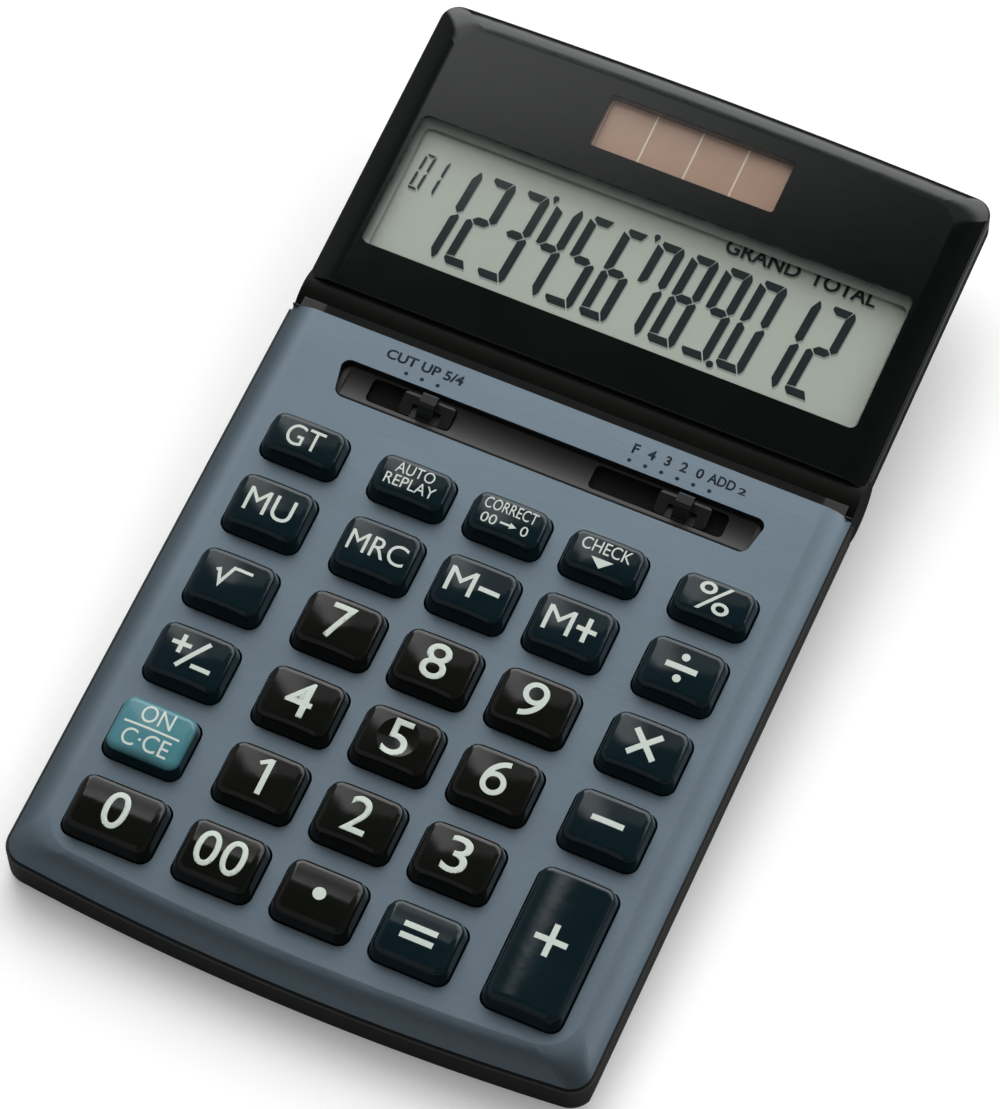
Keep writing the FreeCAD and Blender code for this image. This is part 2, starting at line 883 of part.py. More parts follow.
def build_key(key):
    """A hollow keycap: a flange under the deck, straight walls in its opening, sloping skirts above."""
    label = key["label"]
    body = doc.addObject("PartDesign::Body", label + "_body")
    gap = S.key_gap
    left, right = key["left"] + gap, key["right"] - gap
    front, rear = key["front"] + gap, key["rear"] - gap
    margin = S.flange_margin + gap
    flange_low = -(S.flange_drop + S.flange_thickness)
    corner = S.hole_radius - gap
    flange = body_sketch(
        body,
        label + "_flange",
        rounded(left - margin, right + margin, front - margin, rear + margin, corner),
        flange_low,
    )
    pad(body, label + "_flange_pad", flange, S.flange_thickness)
    neck = body_sketch(body, label + "_neck", rounded(left, right, front, rear, corner), flange_low)
    pad(body, label + "_neck_pad", neck, -flange_low)
    foot = body_sketch(body, label + "_foot", rounded(left, right, front, rear, corner), 0)
    top = body_sketch(
        body,
        label + "_top",
        rounded(
            left + S.side_slope,
            right - S.side_slope,
            front + S.front_slope,
            rear - S.rear_slope,
            corner,
        ),
        S.key_height,
    )
    skirt = body.newObject("PartDesign::AdditiveLoft", label + "_skirt")
    skirt.Profile = foot
    skirt.Sections = [top]
    skirt.Ruled = True
    middle_x = (key["left"] + key["right"]) / 2
    middle_y = (front + S.front_slope + rear - S.rear_slope) / 2
    if key["crowned"]:
        crown, radius = crown_across(body, key, middle_y), S.crown_radius
    elif label == "key_plus":
        crown, radius = crown_along(body, key, middle_x), S.tall_crown_radius
    else:
        crown, radius = dome_top(body, key, middle_x, middle_y), S.dome_radius
    doc.recompute()
    rounding = body.newObject("PartDesign::Fillet", label + "_edge")
    rounding.Base = (crown, crown_edges(crown.Shape, radius.value))
    bind(rounding, "Radius", S.key_edge)
    if label == "key_five":
        dish = body.newObject("PartDesign::SubtractiveSphere", label + "_dish")
        bind(dish, "Radius", S.dish_radius)
        place(dish, middle_x, middle_y, S.key_height - S.dish_depth + S.dish_radius)
    hollow_key(body, key, flange_low)
    keyboard_part(body, label)


def crown_edges(solid, radius):
    """The rim of a key's top, which is the one face with the crown's radius."""
    rim = [
        edge
        for face in solid.Faces
        if abs(getattr(face.Surface, "Radius", 0) - radius) < 0.001
        for edge in face.Edges
    ]
    return [
        f"Edge{number}"
        for number, edge in enumerate(solid.Edges, start=1)
        if any(edge.isSame(other) for other in rim)
    ]


def upright_sketch(body, name, plane_name, outline):
    """A sketch on one of the body's upright planes."""
    sketch = body.newObject("Sketcher::SketchObject", name)
    plane = [f for f in body.Origin.OriginFeatures if f.Role == plane_name][0]
    sketch.AttachmentSupport = [(plane, "")]
    sketch.MapMode = "FlatFace"
    draw(sketch, outline)
    return sketch


def above_arc(middle, half, radius):
    """The outline of what lies above an arc whose top is at the key's height."""
    fall = radius - root(radius * radius - half * half)
    return [
        (middle + half, S.key_height - fall, radius),
        (middle - half, S.key_height - fall),
        (middle - half, S.key_height + 2),
        (middle + half, S.key_height + 2),
    ]


def cut_crown(body, key, sketch):
    crown = body.newObject("PartDesign::Pocket", key["label"] + "_crown_cut")
    crown.Profile = sketch
    crown.Type = "Length"
    crown.Midplane = True
    crown.Length = FAR
    return crown


def crown_across(body, key, middle_y):
    """The front row's tops fall away to the front and the rear."""
    outline = above_arc(middle_y, as_size(8), S.crown_radius)
    return cut_crown(body, key, upright_sketch(body, key["label"] + "_crown", "YZ_Plane", outline))


def crown_along(body, key, middle_x):
    """The tall key's top falls away to the left and the right."""
    outline = above_arc(middle_x, as_size(8), S.tall_crown_radius)
    return cut_crown(body, key, upright_sketch(body, key["label"] + "_crown", "XZ_Plane", outline))


def dome_top(body, key, middle_x, middle_y):
    """The other tops are shallow domes, turned about the key's own upright axis."""
    radius, reach = S.dome_radius, as_size(9.5)
    fall = radius - root(radius * radius - reach * reach)
    outline = [
        (reach, S.key_height - fall, radius),
        (as_size(0), S.key_height),
        (as_size(0), S.key_height + 2),
        (reach, S.key_height + 2),
    ]
    sketch = upright_sketch(body, key["label"] + "_dome", "XZ_Plane", outline)
    bind(sketch, "AttachmentOffset.Base.x", middle_x)
    bind(sketch, "AttachmentOffset.Base.z", -middle_y)
    dome = body.newObject("PartDesign::Groove", key["label"] + "_dome_cut")
    dome.Profile = sketch
    dome.ReferenceAxis = (sketch, ["V_Axis"])
    dome.Angle = 360
    return dome


def hollow_key(body, key, flange_low):
    """Hollow the key from below and leave the stems that press the rubber domes."""
    label = key["label"]
    wall = S.key_gap + S.key_wall
    inner = rounded(
        key["left"] + wall,
        key["right"] - wall,
        key["front"] + wall,
        key["rear"] - wall,
        S.hole_radius - S.key_wall,
    )
    roof = S.key_height - S.key_roof
    hollow = body.newObject("PartDesign::Pocket", label + "_hollow")
    hollow.Profile = body_sketch(body, label + "_inner", inner, 0)
    hollow.Type = "Length"
    bind(hollow, "Length", -flange_low)
    upper = body.newObject("PartDesign::Pocket", label + "_hollow_top")
    slope = S.front_slope
    upper.Profile = body_sketch(
        body,
        label + "_upper",
        rounded(
            key["left"] + wall + S.side_slope,
            key["right"] - wall - S.side_slope,
            key["front"] + wall + slope,
            key["rear"] - wall - S.rear_slope,
            S.hole_radius - S.key_wall,
        ),
        0,
    )
    upper.Type = "Length"
    upper.Reversed = True
    bind(upper, "Length", roof)
    for number, y in enumerate(key["domes"]):
        stem = body.newObject("PartDesign::AdditiveCylinder", f"{label}_stem{number}")
        bind(stem, "Radius", S.stem_radius)
        bind(stem, "Height", S.stem_drop + roof + 0.2)
        place(stem, key["centre"], y, -S.stem_drop)


def dome_places():
    return [(key["centre"], y) for key in KEYS for y in key["domes"]]


def build_rubber_keypad():
    low = -(S.rubber_top + S.rubber_thickness)
    sheet = box(
        "rubber_sheet",
        (-S.board_half_width, S.board_front, low),
        (S.board_half_width, S.first_row + 5 * S.row_pitch + S.top_hole_depth + 3, -S.rubber_top),
    )
    rise = S.rubber_top - S.stem_drop - 0.05
    outer = [
        cone(f"dome_{n}", S.dome_base, S.dome_tip, rise, (x, y, -S.rubber_top))
        for n, (x, y) in enumerate(dome_places())
    ]
    inner = [
        cone(
            f"dome_room_{n}",
            S.dome_base - S.dome_skin,
            S.dome_tip - S.dome_skin,
            rise + S.rubber_thickness - S.dome_skin,
            (x, y, low),
        )
        for n, (x, y) in enumerate(dome_places())
    ]
    holes = [
        cylinder(f"rubber_hole_{n}", S.post_radius + 0.3, 3, (x, y, low - 1))
        for n, (x, y) in enumerate(mirrored(S.post_column, POST_ROWS))
    ]
    solid = join("rubber_solid", [sheet] + outer)
    keyboard_part(cut("rubber_keypad_body", solid, inner + holes), "rubber_keypad")


# Circuit board and what is on it


def board_top():
    return -(S.rubber_top + S.rubber_thickness)


def build_main_board():
    top = board_top()
    low = top - S.board_thickness
    plate = box(
        "board_plate",
        (-S.board_half_width, S.board_front, low),
        (S.board_half_width, S.board_rear, top),
    )
    holes = [
        cylinder(f"board_hole_{n}", S.screw_shank_radius, 3, (x, y, low - 1))
        for n, (x, y) in enumerate(mirrored(S.post_column, POST_ROWS))
    ]
    keyboard_part(cut("main_board_body", plate, holes), "main_board")


def build_main_chip():
    low = board_top() - S.board_thickness
    chip = box("chip_block", (-5.0, 60.0, low - 1.4), (5.0, 70.0, low))
    keyboard_part(fillet("chip_edged", chip, as_size(1.2), is_lower_edge), "main_chip")


def is_lower_edge(edge):
    """The four edges round the underside of the chip's resin."""
    low = board_top().value - S.board_thickness.value - 1.4
    return all(abs(vertex.Z - low) < 0.01 for vertex in edge.Vertexes)


def build_board_components():
    low = board_top() - S.board_thickness
    pieces = [
        cylinder("capacitor_large", 2.0, 4.4, (16.0, 84.0, low - 4.4)),
        cylinder("capacitor_small", 1.6, 3.6, (22.0, 84.0, low - 3.6)),
    ]
    for n in range(5):
        x = 11.0 + 3.0 * n
        pieces.append(box(f"resistor_{n}", (x, 72.0, low - 0.5), (x + 1.6, 74.8, low)))
    keyboard_part(group("board_components_group", pieces), "board_components")


def screw(name, x, y, head_low, head_height, shank_length):
    """A pan-head screw with a cross slot; its head is at head_low and its shank points up."""
    head = cylinder(name + "_head", S.screw_head_radius, head_height, (x, y, head_low))
    shank = cylinder(
        name + "_shank", S.screw_shank_radius, shank_length, (x, y, as_size(head_low) + head_height)
    )
    slots = [
        box(name + "_slot_a", (x - 1.1, y - 0.2, as_size(head_low) - 0.1),
            (x + 1.1, y + 0.2, as_size(head_low) + 0.6)),
        box(name + "_slot_b", (x - 0.2, y - 1.1, as_size(head_low) - 0.1),
            (x + 0.2, y + 1.1, as_size(head_low) + 0.6)),
    ]
    return cut(name, join(name + "_solid", [head, shank]), slots)


def build_keyboard_screws():
    low = board_top() - S.board_thickness
    board = [
        screw(f"board_screw_{n}", x, y, low - 1.3, 1.3, S.board_thickness + 2.2)
        for n, (x, y) in enumerate(mirrored(S.post_column, POST_ROWS))
    ]
    keyboard_part(group("board_screws_group", board), "board_screws")
    case = [
        screw(f"case_screw_{n}", x, y, -S.parting_depth - 1.4 - 1.5, 1.5, 5.0)
        for n, (x, y) in enumerate(mirrored(S.boss_column, BOSS_ROWS))
    ]
    keyboard_part(group("case_screws_group", case), "case_screws")


# Slide switches


def build_switch(switch):
    """The knob: a fin on a winged block that fills the slot, with a cover plate under the floor."""
    rest, left, right = SWITCHES[switch]
    floor_low = -(S.trough_depth + S.trough_floor)
    plate_top = floor_low - 0.3
    plate_low = plate_top - 0.7
    reach = S.knob_half_width + S.knob_gap
    plate = box(
        f"{switch}_plate",
        (rest - right * S.detent - reach - left * S.detent, S.trough_front + 0.8, plate_low),
        (rest + left * S.detent + reach + right * S.detent, S.trough_rear + 0.6, plate_top),
    )
    front, rear = S.slot_front + S.knob_gap, S.slot_rear - S.knob_gap
    low, high = rest - S.knob_half_width, rest + S.knob_half_width
    wings = prism(
        f"{switch}_wings",
        "side",
        [
            (front, plate_low),
            (rear, plate_low),
            (rear, as_size(-0.9)),
            (rear - 0.6, as_size(-0.75)),
            (front, as_size(-1.75)),
        ],
        low,
        high,
    )
    round_plan = prism(
        f"{switch}_wing_plan", "plan", rounded(low, high, front, rear, as_size(0.9)), -5, 1
    )
    block = overlap(f"{switch}_block", [wings, round_plan])
    fin = prism(
        f"{switch}_fin",
        "side",
        [
            (front, as_size(-2.0)),
            (rear, as_size(-2.0)),
            (rear, as_size(0.55)),
            (rear - 0.4, as_size(0.9)),
            (rear - 2.0, as_size(0.9)),
            (rear - 2.6, as_size(0.55)),
        ],
        rest - 1.45,
        rest + 1.45,
    )
    grooves = [
        box(
            f"{switch}_groove_{side + 1}",
            (rest + side * 2.1 - 0.65, front - 0.5, -1.9),
            (rest + side * 2.1 + 0.65, front + 2.2, 0.5),
        )
        for side in (-1, 1)
    ]
    leg = box(
        f"{switch}_leg",
        (rest - 2.0, S.trough_front + 3.2, board_top() + 0.65),
        (rest + 2.0, S.trough_front + 5.0, plate_low),
    )
    solid = join(f"{switch}_knob_solid", [plate, block, fin, leg])
    keyboard_part(cut(f"{switch}_knob_body", solid, grooves), f"{switch}_switch_knob")
    bar_low = board_top() + 0.4
    bar = box(
        f"{switch}_bar",
        (rest - 4.0, S.trough_front + 2.6, bar_low),
        (rest + 4.0, S.trough_front + 5.6, bar_low + 0.25),
    )
    fingers = [
        box(
            f"{switch}_finger_{side + 1}",
            (rest + side * 3.0 - 0.5, S.trough_front + 2.6, board_top() + 0.05),
            (rest + side * 3.0 + 0.5, S.trough_front + 5.6, bar_low),
        )
        for side in (-1, 1)
    ]
    keyboard_part(
        join(f"{switch}_contact_body", [bar] + fingers), f"{switch}_switch_contact"
    )


# Battery and what stands on the desk


def build_battery():
    cell_x, cell_y = CELL_PLACE
    cover_low = S.foot_protrusion
    cell_low = cover_low + COVER_THICKNESS + 0.5
    case = cylinder("cell_case", S.cell_radius, S.cell_thickness - 0.5, (cell_x, cell_y, cell_low + 0.5))
    cap = cylinder("cell_cap", S.cell_radius - 0.8, 0.5, (cell_x, cell_y, cell_low))
    desk_part(join("button_cell_body", [case, cap]), "button_cell")
    blade = cylinder("negative_disc", S.cell_radius - 1.6, 0.3, (cell_x, cell_y, cell_low - 0.3))
    hole = cylinder("negative_hole", 1.6, 1.0, (cell_x, cell_y, cell_low - 0.6))
    desk_part(cut("negative_body", blade, [hole]), "battery_contact_negative")
    cell_top = cell_low + S.cell_thickness
    disc = cylinder("positive_disc", S.cell_radius - 0.6, 0.3, (cell_x, cell_y, cell_top))
    slit = box(
        "positive_slit",
        (cell_x - 1.0, cell_y - 3.0, cell_top - 0.5),
        (cell_x + 1.0, cell_y + 3.0, cell_top + 0.8),
    )
    desk_part(cut("positive_body", disc, [slit]), "battery_contact_positive")
    screw_x, screw_y = COVER_SCREW_PLACE
    plate = box(
        "cover_plate",
        (WELL["left"] + 1.35, WELL["front"] + 1.35, cover_low),
        (WELL["right"] - 1.35, WELL["rear"] - 1.35, cover_low + COVER_THICKNESS),
    )
    grips = [
        box(f"cover_grip_{n}", (-33.0 + 1.6 * n, 92.0, cover_low - 0.5),
            (-32.2 + 1.6 * n, 102.0, cover_low + 0.4))
        for n in range(3)
    ]
    head_room = cylinder(
        "cover_head_room", S.screw_head_radius + 0.1, 2.0, (screw_x, screw_y, cover_low - 1.2)
    )
    way = cylinder("cover_way", S.screw_shank_radius, 4.0, (screw_x, screw_y, cover_low - 1))
    desk_part(cut("battery_cover_body", plate, grips + [head_room, way]), "battery_cover")
    desk_part(
        screw("cover_screw", as_size(screw_x), as_size(screw_y), cover_low + 0.1, 0.7, 4.5),
        "battery_cover_screw",
    )


def build_rubber_feet():
    feet = [
        cylinder(f"foot_{n}", S.foot_radius, S.foot_protrusion + S.foot_recess, (x, y, 0))
        for n, (x, y) in enumerate(FOOT_PLACES)
    ]
    desk_part(group("rubber_feet_group", feet), "rubber_feet")


# Hinge


def build_hinge():
    length = 2 * (S.lug_half + S.lug_gap + S.web_thickness)
    pins, washers = [], []
    for side in (-1, 1):
        middle = side * S.lug_centre
        pins.append(
            cylinder(f"pin_{side + 1}", S.pin_radius, length + 0.6,
                     (middle - length / 2 - 0.3, S.hinge_y, -S.hinge_drop), "x")
        )
        for end in (-1, 1):
            face = middle + end * (S.lug_half + 0.15)
            ring = cylinder(
                f"washer_{side + 1}_{end + 1}", 2.9, 0.3,
                (face - 0.15, S.hinge_y, -S.hinge_drop), "x",
            )
            bore = cylinder(
                f"washer_bore_{side + 1}_{end + 1}", S.pin_radius, 2.3,
                (face - 1.15, S.hinge_y, -S.hinge_drop), "x",
            )
            washers.append(cut(f"washer_cut_{side + 1}_{end + 1}", ring, [bore]))
    keyboard_part(group("hinge_pins_group", pins), "hinge_pins")
    keyboard_part(group("hinge_washers_group", washers), "hinge_washers")


def build_display_ribbon():
    """A flat cable from the board's rear edge through the barrel to the display's board."""
    thickness = 0.2
    board_low = board_top() - S.board_thickness
    tilt_rise = sine(S.display_tilt)
    end_y = S.hinge_y + 8.6
    end_z = -S.hinge_drop + 8.6 * tilt_rise - 0.35
    outline = [
        (as_size(107.0), board_low - thickness),
        (as_size(112.0), board_low - thickness),
        (S.hinge_y, -S.hinge_drop - thickness),
        (S.hinge_y + 6.6, -S.hinge_drop + 6.6 * tilt_rise - thickness),
        (end_y, end_z - thickness),
        (end_y, end_z),
        (S.hinge_y + 6.6, -S.hinge_drop + 6.6 * tilt_rise),
        (S.hinge_y, -S.hinge_drop),
        (as_size(112.0), board_low),
        (as_size(107.0), board_low),
    ]
    keyboard_part(prism("ribbon", "side", outline, -7.0, 7.0), "display_ribbon")


# Display unit


def display_outline(half_width, front, rear, corner, bow):
    """The display's plan: straight front, bowed rear edge and rounded rear corners."""
    reach = bow - corner
    corner_y = rear - bow + root(reach * reach - (half_width - corner) * (half_width - corner))
    touch_x = bow * (half_width - corner) / reach
    touch_y = rear - bow + bow * (corner_y - rear + bow) / reach
    return [
        (-half_width, front),
        (half_width, front),
        (half_width, corner_y, corner),
        (touch_x, touch_y, bow),
        (-touch_x, touch_y, corner),
        (-half_width, corner_y),
    ]


def rolled_block(name):
    """The display's face: flat, rolling down smoothly to both sides and to the rear edge."""
    width, drop = S.display_roll, S.display_roll_drop
    radius = (width * width + drop * drop) / (2 * drop)
    outlines, heights = [], []
    steps = 5
    for step in range(steps + 1):
        run = width * (1 - step / steps)
        edge = width - run
        outlines.append(
            display_outline(
                S.display_half_width - edge,
                S.display_front,
                S.display_rear - 0.85 * edge,
                S.display_corner + 0.2 * edge,
                S.display_bow,
            )
        )
        heights.append(S.display_face - radius + root(radius * radius - run * run))
    roll = loft(name + "_roll", outlines, heights, smooth=True)
    skirt = prism(name + "_skirt", "plan", outlines[0], S.display_parting, heights[0])
    return join(name, [skirt, roll])


def front_round(name):
    """A side outline whose upper front corner has a small radius, extruded right across."""
    edge = as_size(0.45)
    return prism(
        name,
        "side",
        [
            (S.display_front, as_size(-1)),
            (S.display_rear + 1, as_size(-1)),
            (S.display_rear + 1, S.display_face),
            (S.display_front + edge, S.display_face, edge),
            (S.display_front, S.display_face - edge),
        ],
        -FAR,
        FAR,
    )


DISPLAY_SCREWS = [(-49.0, 7.6), (49.0, 7.6), (-47.5, 57.5), (47.5, 57.5)]


def build_display_bezel():
    block = rolled_block("bezel_block")
    smooth_block = fillet("bezel_smooth", block, as_size(0.6), is_bezel_edge)
    edged = overlap("bezel_edged", [smooth_block, front_round("bezel_front")])
    wall = S.display_wall
    roof = S.display_face - 1.9
    inside = prism(
        "bezel_inside",
        "plan",
        display_outline(
            S.display_half_width - wall,
            S.display_front + wall,
            S.display_rear - wall,
            S.display_corner - wall,
            S.display_bow,
        ),
        0,
        S.display_face - S.display_roll_drop - 1.3,
    )
    inside_top = box(
        "bezel_inside_top",
        (S.display_roll - S.display_half_width, 6.5, 0),
        (S.display_half_width - S.display_roll, S.display_rear - S.display_roll, roof),
    )
    barrel = cylinder("bezel_barrel", S.barrel_radius, 2 * FAR, (-FAR, 0, 0), "x")
    shell = cut("bezel_shell", edged, [inside, inside_top, barrel])
    floor = S.display_face - S.window_depth
    frame = box(
        "window_frame",
        (-S.window_half_width - 1.2, S.window_front - 1.2, floor),
        (S.window_half_width + 1.2, S.window_rear + 1.2, roof + 0.5),
    )
    added = [shell, frame]
    for n, (x, y) in enumerate(DISPLAY_SCREWS):
        added.append(cylinder(f"bezel_boss_{n}", 2.2, roof - 0.45, (x, y, 0.35)))
    solid = join("bezel_solid", added)
    draft, corner = S.window_draft, S.window_corner
    opening = loft(
        "window_opening",
        [
            rounded(
                -S.window_half_width + draft, S.window_half_width - draft,
                S.window_front + draft, S.window_rear - draft, corner - 0.5,
            ),
            rounded(
                -S.window_half_width, S.window_half_width, S.window_front, S.window_rear, corner
            ),
        ],
        [floor, S.display_face],
    )
    solar = prism(
        "solar_opening",
        "plan",
        rounded(-S.solar_half_width, S.solar_half_width, S.solar_front, S.solar_rear, as_size(0.6)),
        0,
        10,
    )
    tools = [opening, solar]
    for n, (x, y) in enumerate(DISPLAY_SCREWS):
        tools.append(cylinder(f"bezel_thread_{n}", S.screw_shank_radius, 3.4, (x, y, 0)))
    display_part(cut("display_bezel_body", solid, tools), "display_bezel")


def is_bezel_edge(edge):
    """The rim where the rolled face meets the upright sides and the rear."""
    rim = S.display_face.value - S.display_roll_drop.value
    level = all(abs(point.z - rim) < 0.01 for point in (edge.Vertexes[0].Point, edge.valueAt(mid(edge))))
    return level and edge.valueAt(mid(edge)).y > S.display_front.value + 0.1


def build_display_back():
    plan = prism(
        "back_plan",
        "plan",
        display_outline(
            S.display_half_width, as_size(1.0), S.display_rear, S.display_corner, S.display_bow
        ),
        S.display_base,
        S.display_parting,
    )
    edged = fillet("back_edged", plan, as_size(1.5), is_back_edge)
    wall = S.display_wall
    room = prism(
        "back_room",
        "plan",
        display_outline(
            S.display_half_width - wall,
            S.barrel_radius + 0.7,
            S.display_rear - wall,
            S.display_corner - wall,
            S.display_bow,
        ),
        S.display_base + 1.2,
        10,
    )
    shell = cut("back_shell", edged, [room])
    half = S.display_half_width
    barrel = cylinder("barrel_outside", S.barrel_radius, 2 * half, (-half, 0, 0), "x")
    bosses = [
        cylinder(f"back_boss_{n}", 2.9, 0.3 - S.display_base, (x, y, S.display_base))
        for n, (x, y) in enumerate(DISPLAY_SCREWS)
    ]
    solid = join("back_solid", [shell, barrel] + bosses)
    inner_half = half - wall
    tools = []
    spans = [(-inner_half, -web_outer()), (-web_inner(), web_inner()), (web_outer(), inner_half)]
    for n, (low, high) in enumerate(spans):
        tools.append(
            cylinder(f"barrel_room_{n}", S.barrel_bore, as_size(high) - low, (low, 0, 0), "x")
        )
    slot_half = S.lug_half + S.lug_gap
    for side in (-1, 1):
        low = side * S.lug_centre - slot_half
        tools.append(
            cylinder(f"lug_room_{side + 1}", S.barrel_bore, 2 * slot_half, (low, 0, 0), "x")
        )
        tools.append(barrel_slot(f"lug_slot_{side + 1}", low, 2 * slot_half, -168, -51))
    tools.append(barrel_slot("ribbon_slot", as_size(-10.0), 20.0, 142, 202))
    tools.append(box("ribbon_way", (-9.0, 3.0, -1.2), (9.0, 8.0, 1.2)))
    bore = S.pin_radius + S.running_gap
    reach = web_outer() + 0.5
    tools.append(cylinder("hinge_bore", bore, 2 * reach, (-reach, 0, 0), "x"))
    for n, (x, y) in enumerate(DISPLAY_SCREWS):
        tools.append(
            cylinder(f"back_head_room_{n}", S.screw_head_radius + 0.1, 1.7, (x, y, S.display_base - 0.1))
        )
        tools.append(cylinder(f"back_way_{n}", S.screw_shank_radius, 6.0, (x, y, S.display_base)))
        tools.append(cylinder(f"back_boss_room_{n}", 2.5, 3.0, (x, y, 0.3)))
    display_part(cut("display_back_body", solid, tools), "display_back")


def web_inner():
    return S.lug_centre - S.lug_half - S.lug_gap - S.web_thickness


def web_outer():
    return S.lug_centre + S.lug_half + S.lug_gap + S.web_thickness


def barrel_slot(name, start, length, first, last):
    """A sector of the barrel's wall, between two angles about the hinge axis."""
    item = doc.addObject("Part::Cylinder", name)
    bind(item, "Radius", S.barrel_radius + 1)
    bind(item, "Height", length)
    item.Angle = last - first
    turn = FreeCAD.Rotation(X_AXIS, first)
    upright = FreeCAD.Rotation(FreeCAD.Vector(1, 1, 1), 120)
    place(item, start, 0, 0, turn.multiply(upright))
    return item


def is_back_edge(edge):
    """The lower rim of the display's rear shell, its straight front edge left out."""
    low = S.display_base.value
    flat = all(abs(vertex.Z - low) < 0.01 for vertex in edge.Vertexes)
    front = all(vertex.Y < 1.5 for vertex in edge.Vertexes)
    return flat and not front


def build_display_glass():
    """Lens, liquid crystal panel, solar window and cell, in order of depth."""
    glue_gap = 0.1
    floor = S.display_face - S.window_depth
    half = S.window_half_width + 1.4
    lens_low = floor - 1.0
    lens = slab(
        "lens_plate",
        (-half, S.window_front - 1.0, lens_low),
        (half, S.window_rear + 1.0, floor),
    )
    display_part(lens, "lcd_lens")
    panel_low = as_size(0.6)
    panel = slab(
        "panel_plate",
        (-half, S.window_front - 1.4, panel_low),
        (half, S.window_rear + 1.6, lens_low - glue_gap),
    )
    display_part(panel, "lcd_panel")
    roof = S.display_face - 1.9
    window = prism(
        "solar_pane",
        "plan",
        rounded(
            -S.solar_half_width + 0.05, S.solar_half_width - 0.05,
            S.solar_front + 0.05, S.solar_rear - 0.05, as_size(0.6),
        ),
        roof,
        S.display_face - 0.15,
    )
    display_part(window, "solar_window")
    cell = slab(
        "cell_plate",
        (-S.solar_half_width - 1, S.solar_front - 1, roof - 1.1),
        (S.solar_half_width + 1, S.solar_rear + 1, roof - glue_gap),
    )
    display_part(cell, "solar_cell")


def build_display_board():
    low = S.display_base + 1.2
    half = S.window_half_width - 1.6
    board = slab("display_plate", (-half, 8.6, low), (half, 41.0, low + 0.8))
    display_part(board, "display_board")
    strip = slab("zebra_strip", (-half + 2, 11.0, low + 0.8), (half - 2, 13.4, 0.6))
    display_part(strip, "lcd_connector")
    screws = [
        screw(f"display_screw_{n}", as_size(x), as_size(y), S.display_base + 0.25, 1.35, 4.2)
        for n, (x, y) in enumerate(DISPLAY_SCREWS)
    ]
    display_part(group("display_screws_group", screws), "display_screws")


def build_all():
    build_fascia_plate()
    build_top_case()
    build_bottom_case()
    for key in KEYS:
        build_key(key)
    build_rubber_keypad()
    build_main_board()
    build_main_chip()
    build_board_components()
    build_keyboard_screws()
    for switch in SWITCHES:
        build_switch(switch)
    build_battery()
    build_rubber_feet()
    build_hinge()
    build_display_ribbon()
    build_display_bezel()
    build_display_back()
    build_display_glass()
    build_display_board()


def check_document():
    """Every object must have built, and every sub-part must be sound."""
    faults = [item.Name for item in doc.Objects if {"Invalid", "Error"} & set(item.State)]
    for item in sub_parts:
        if item.Shape.isNull() or not item.Shape.isValid():
            faults.append(item.Label + " shape")
    if faults:
        raise RuntimeError("failed: " + ", ".join(faults))


def write_parts():
    os.makedirs("parts", exist_ok=True)
    for item in sub_parts:
        item.Shape.exportStep(f"parts/{item.Label}.step")
        bounds = item.Shape.BoundBox
        print(
            f"{item.Label}: {len(item.Shape.Solids)} solids, {item.Shape.Volume:.1f} mm3, "
            f"z {bounds.ZMin:.2f} to {bounds.ZMax:.2f}"
        )
    print(len(sub_parts), "nodes")


build_all()
doc.recompute()
check_document()
write_parts()
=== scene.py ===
import json
import math

import bmesh
import bpy
from mathutils import Euler, Matrix, Vector
from mathutils.bvhtree import BVHTree


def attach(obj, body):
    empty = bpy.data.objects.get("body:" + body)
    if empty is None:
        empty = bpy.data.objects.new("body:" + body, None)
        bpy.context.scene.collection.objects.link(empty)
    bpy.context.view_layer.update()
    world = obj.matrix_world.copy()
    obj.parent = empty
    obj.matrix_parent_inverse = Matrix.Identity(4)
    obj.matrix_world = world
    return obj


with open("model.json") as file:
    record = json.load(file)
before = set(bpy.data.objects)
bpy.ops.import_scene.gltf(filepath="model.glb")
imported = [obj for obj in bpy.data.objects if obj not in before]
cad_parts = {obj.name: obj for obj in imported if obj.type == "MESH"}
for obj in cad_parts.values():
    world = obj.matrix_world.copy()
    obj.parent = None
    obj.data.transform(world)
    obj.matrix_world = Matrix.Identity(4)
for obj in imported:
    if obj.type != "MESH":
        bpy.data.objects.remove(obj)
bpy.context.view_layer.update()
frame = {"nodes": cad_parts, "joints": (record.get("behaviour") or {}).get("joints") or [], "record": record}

MM = 0.001

# Frames: the keyboard frame lies on the sloping fascia, the display frame on the hinge axis
FASCIA_TILT = math.radians(4.0)
DISPLAY_TILT = math.radians(7.5)
CASE_DEPTH = 10.0 * MM
FOOT_HEIGHT = 1.2 * MM
FRONT_REACH = 92.05 * MM
KEYBOARD = (
    Matrix.Translation(
        (
            0,
            -CASE_DEPTH * math.sin(FASCIA_TILT) - FRONT_REACH,
            FOOT_HEIGHT + CASE_DEPTH * math.cos(FASCIA_TILT),
        )
    )
    @ Matrix.Rotation(FASCIA_TILT, 4, "X")
)
HINGE = [joint["pos_m"] for joint in frame["joints"] if joint["name"] == "display_tilt"][0]
DISPLAY = Matrix.Translation(HINGE) @ Matrix.Rotation(DISPLAY_TILT, 4, "X")
ACROSS = Vector((1, 0, 0))
BACK = Vector((0, 1, 0))
UP = Vector((0, 0, 1))

# Painted edge highlight: the bevel's radius in millimetres, the cosines of the turn of the normal where
# the highlight starts and where it is full, how much paler it gets, and the scale of its patches
HIGHLIGHT_RADIUS = 0.25
HIGHLIGHT_STARTS = 0.97
HIGHLIGHT_FULLY = 0.75
HIGHLIGHT_GAIN = 0.02
HIGHLIGHT_PATCHES = 0.9
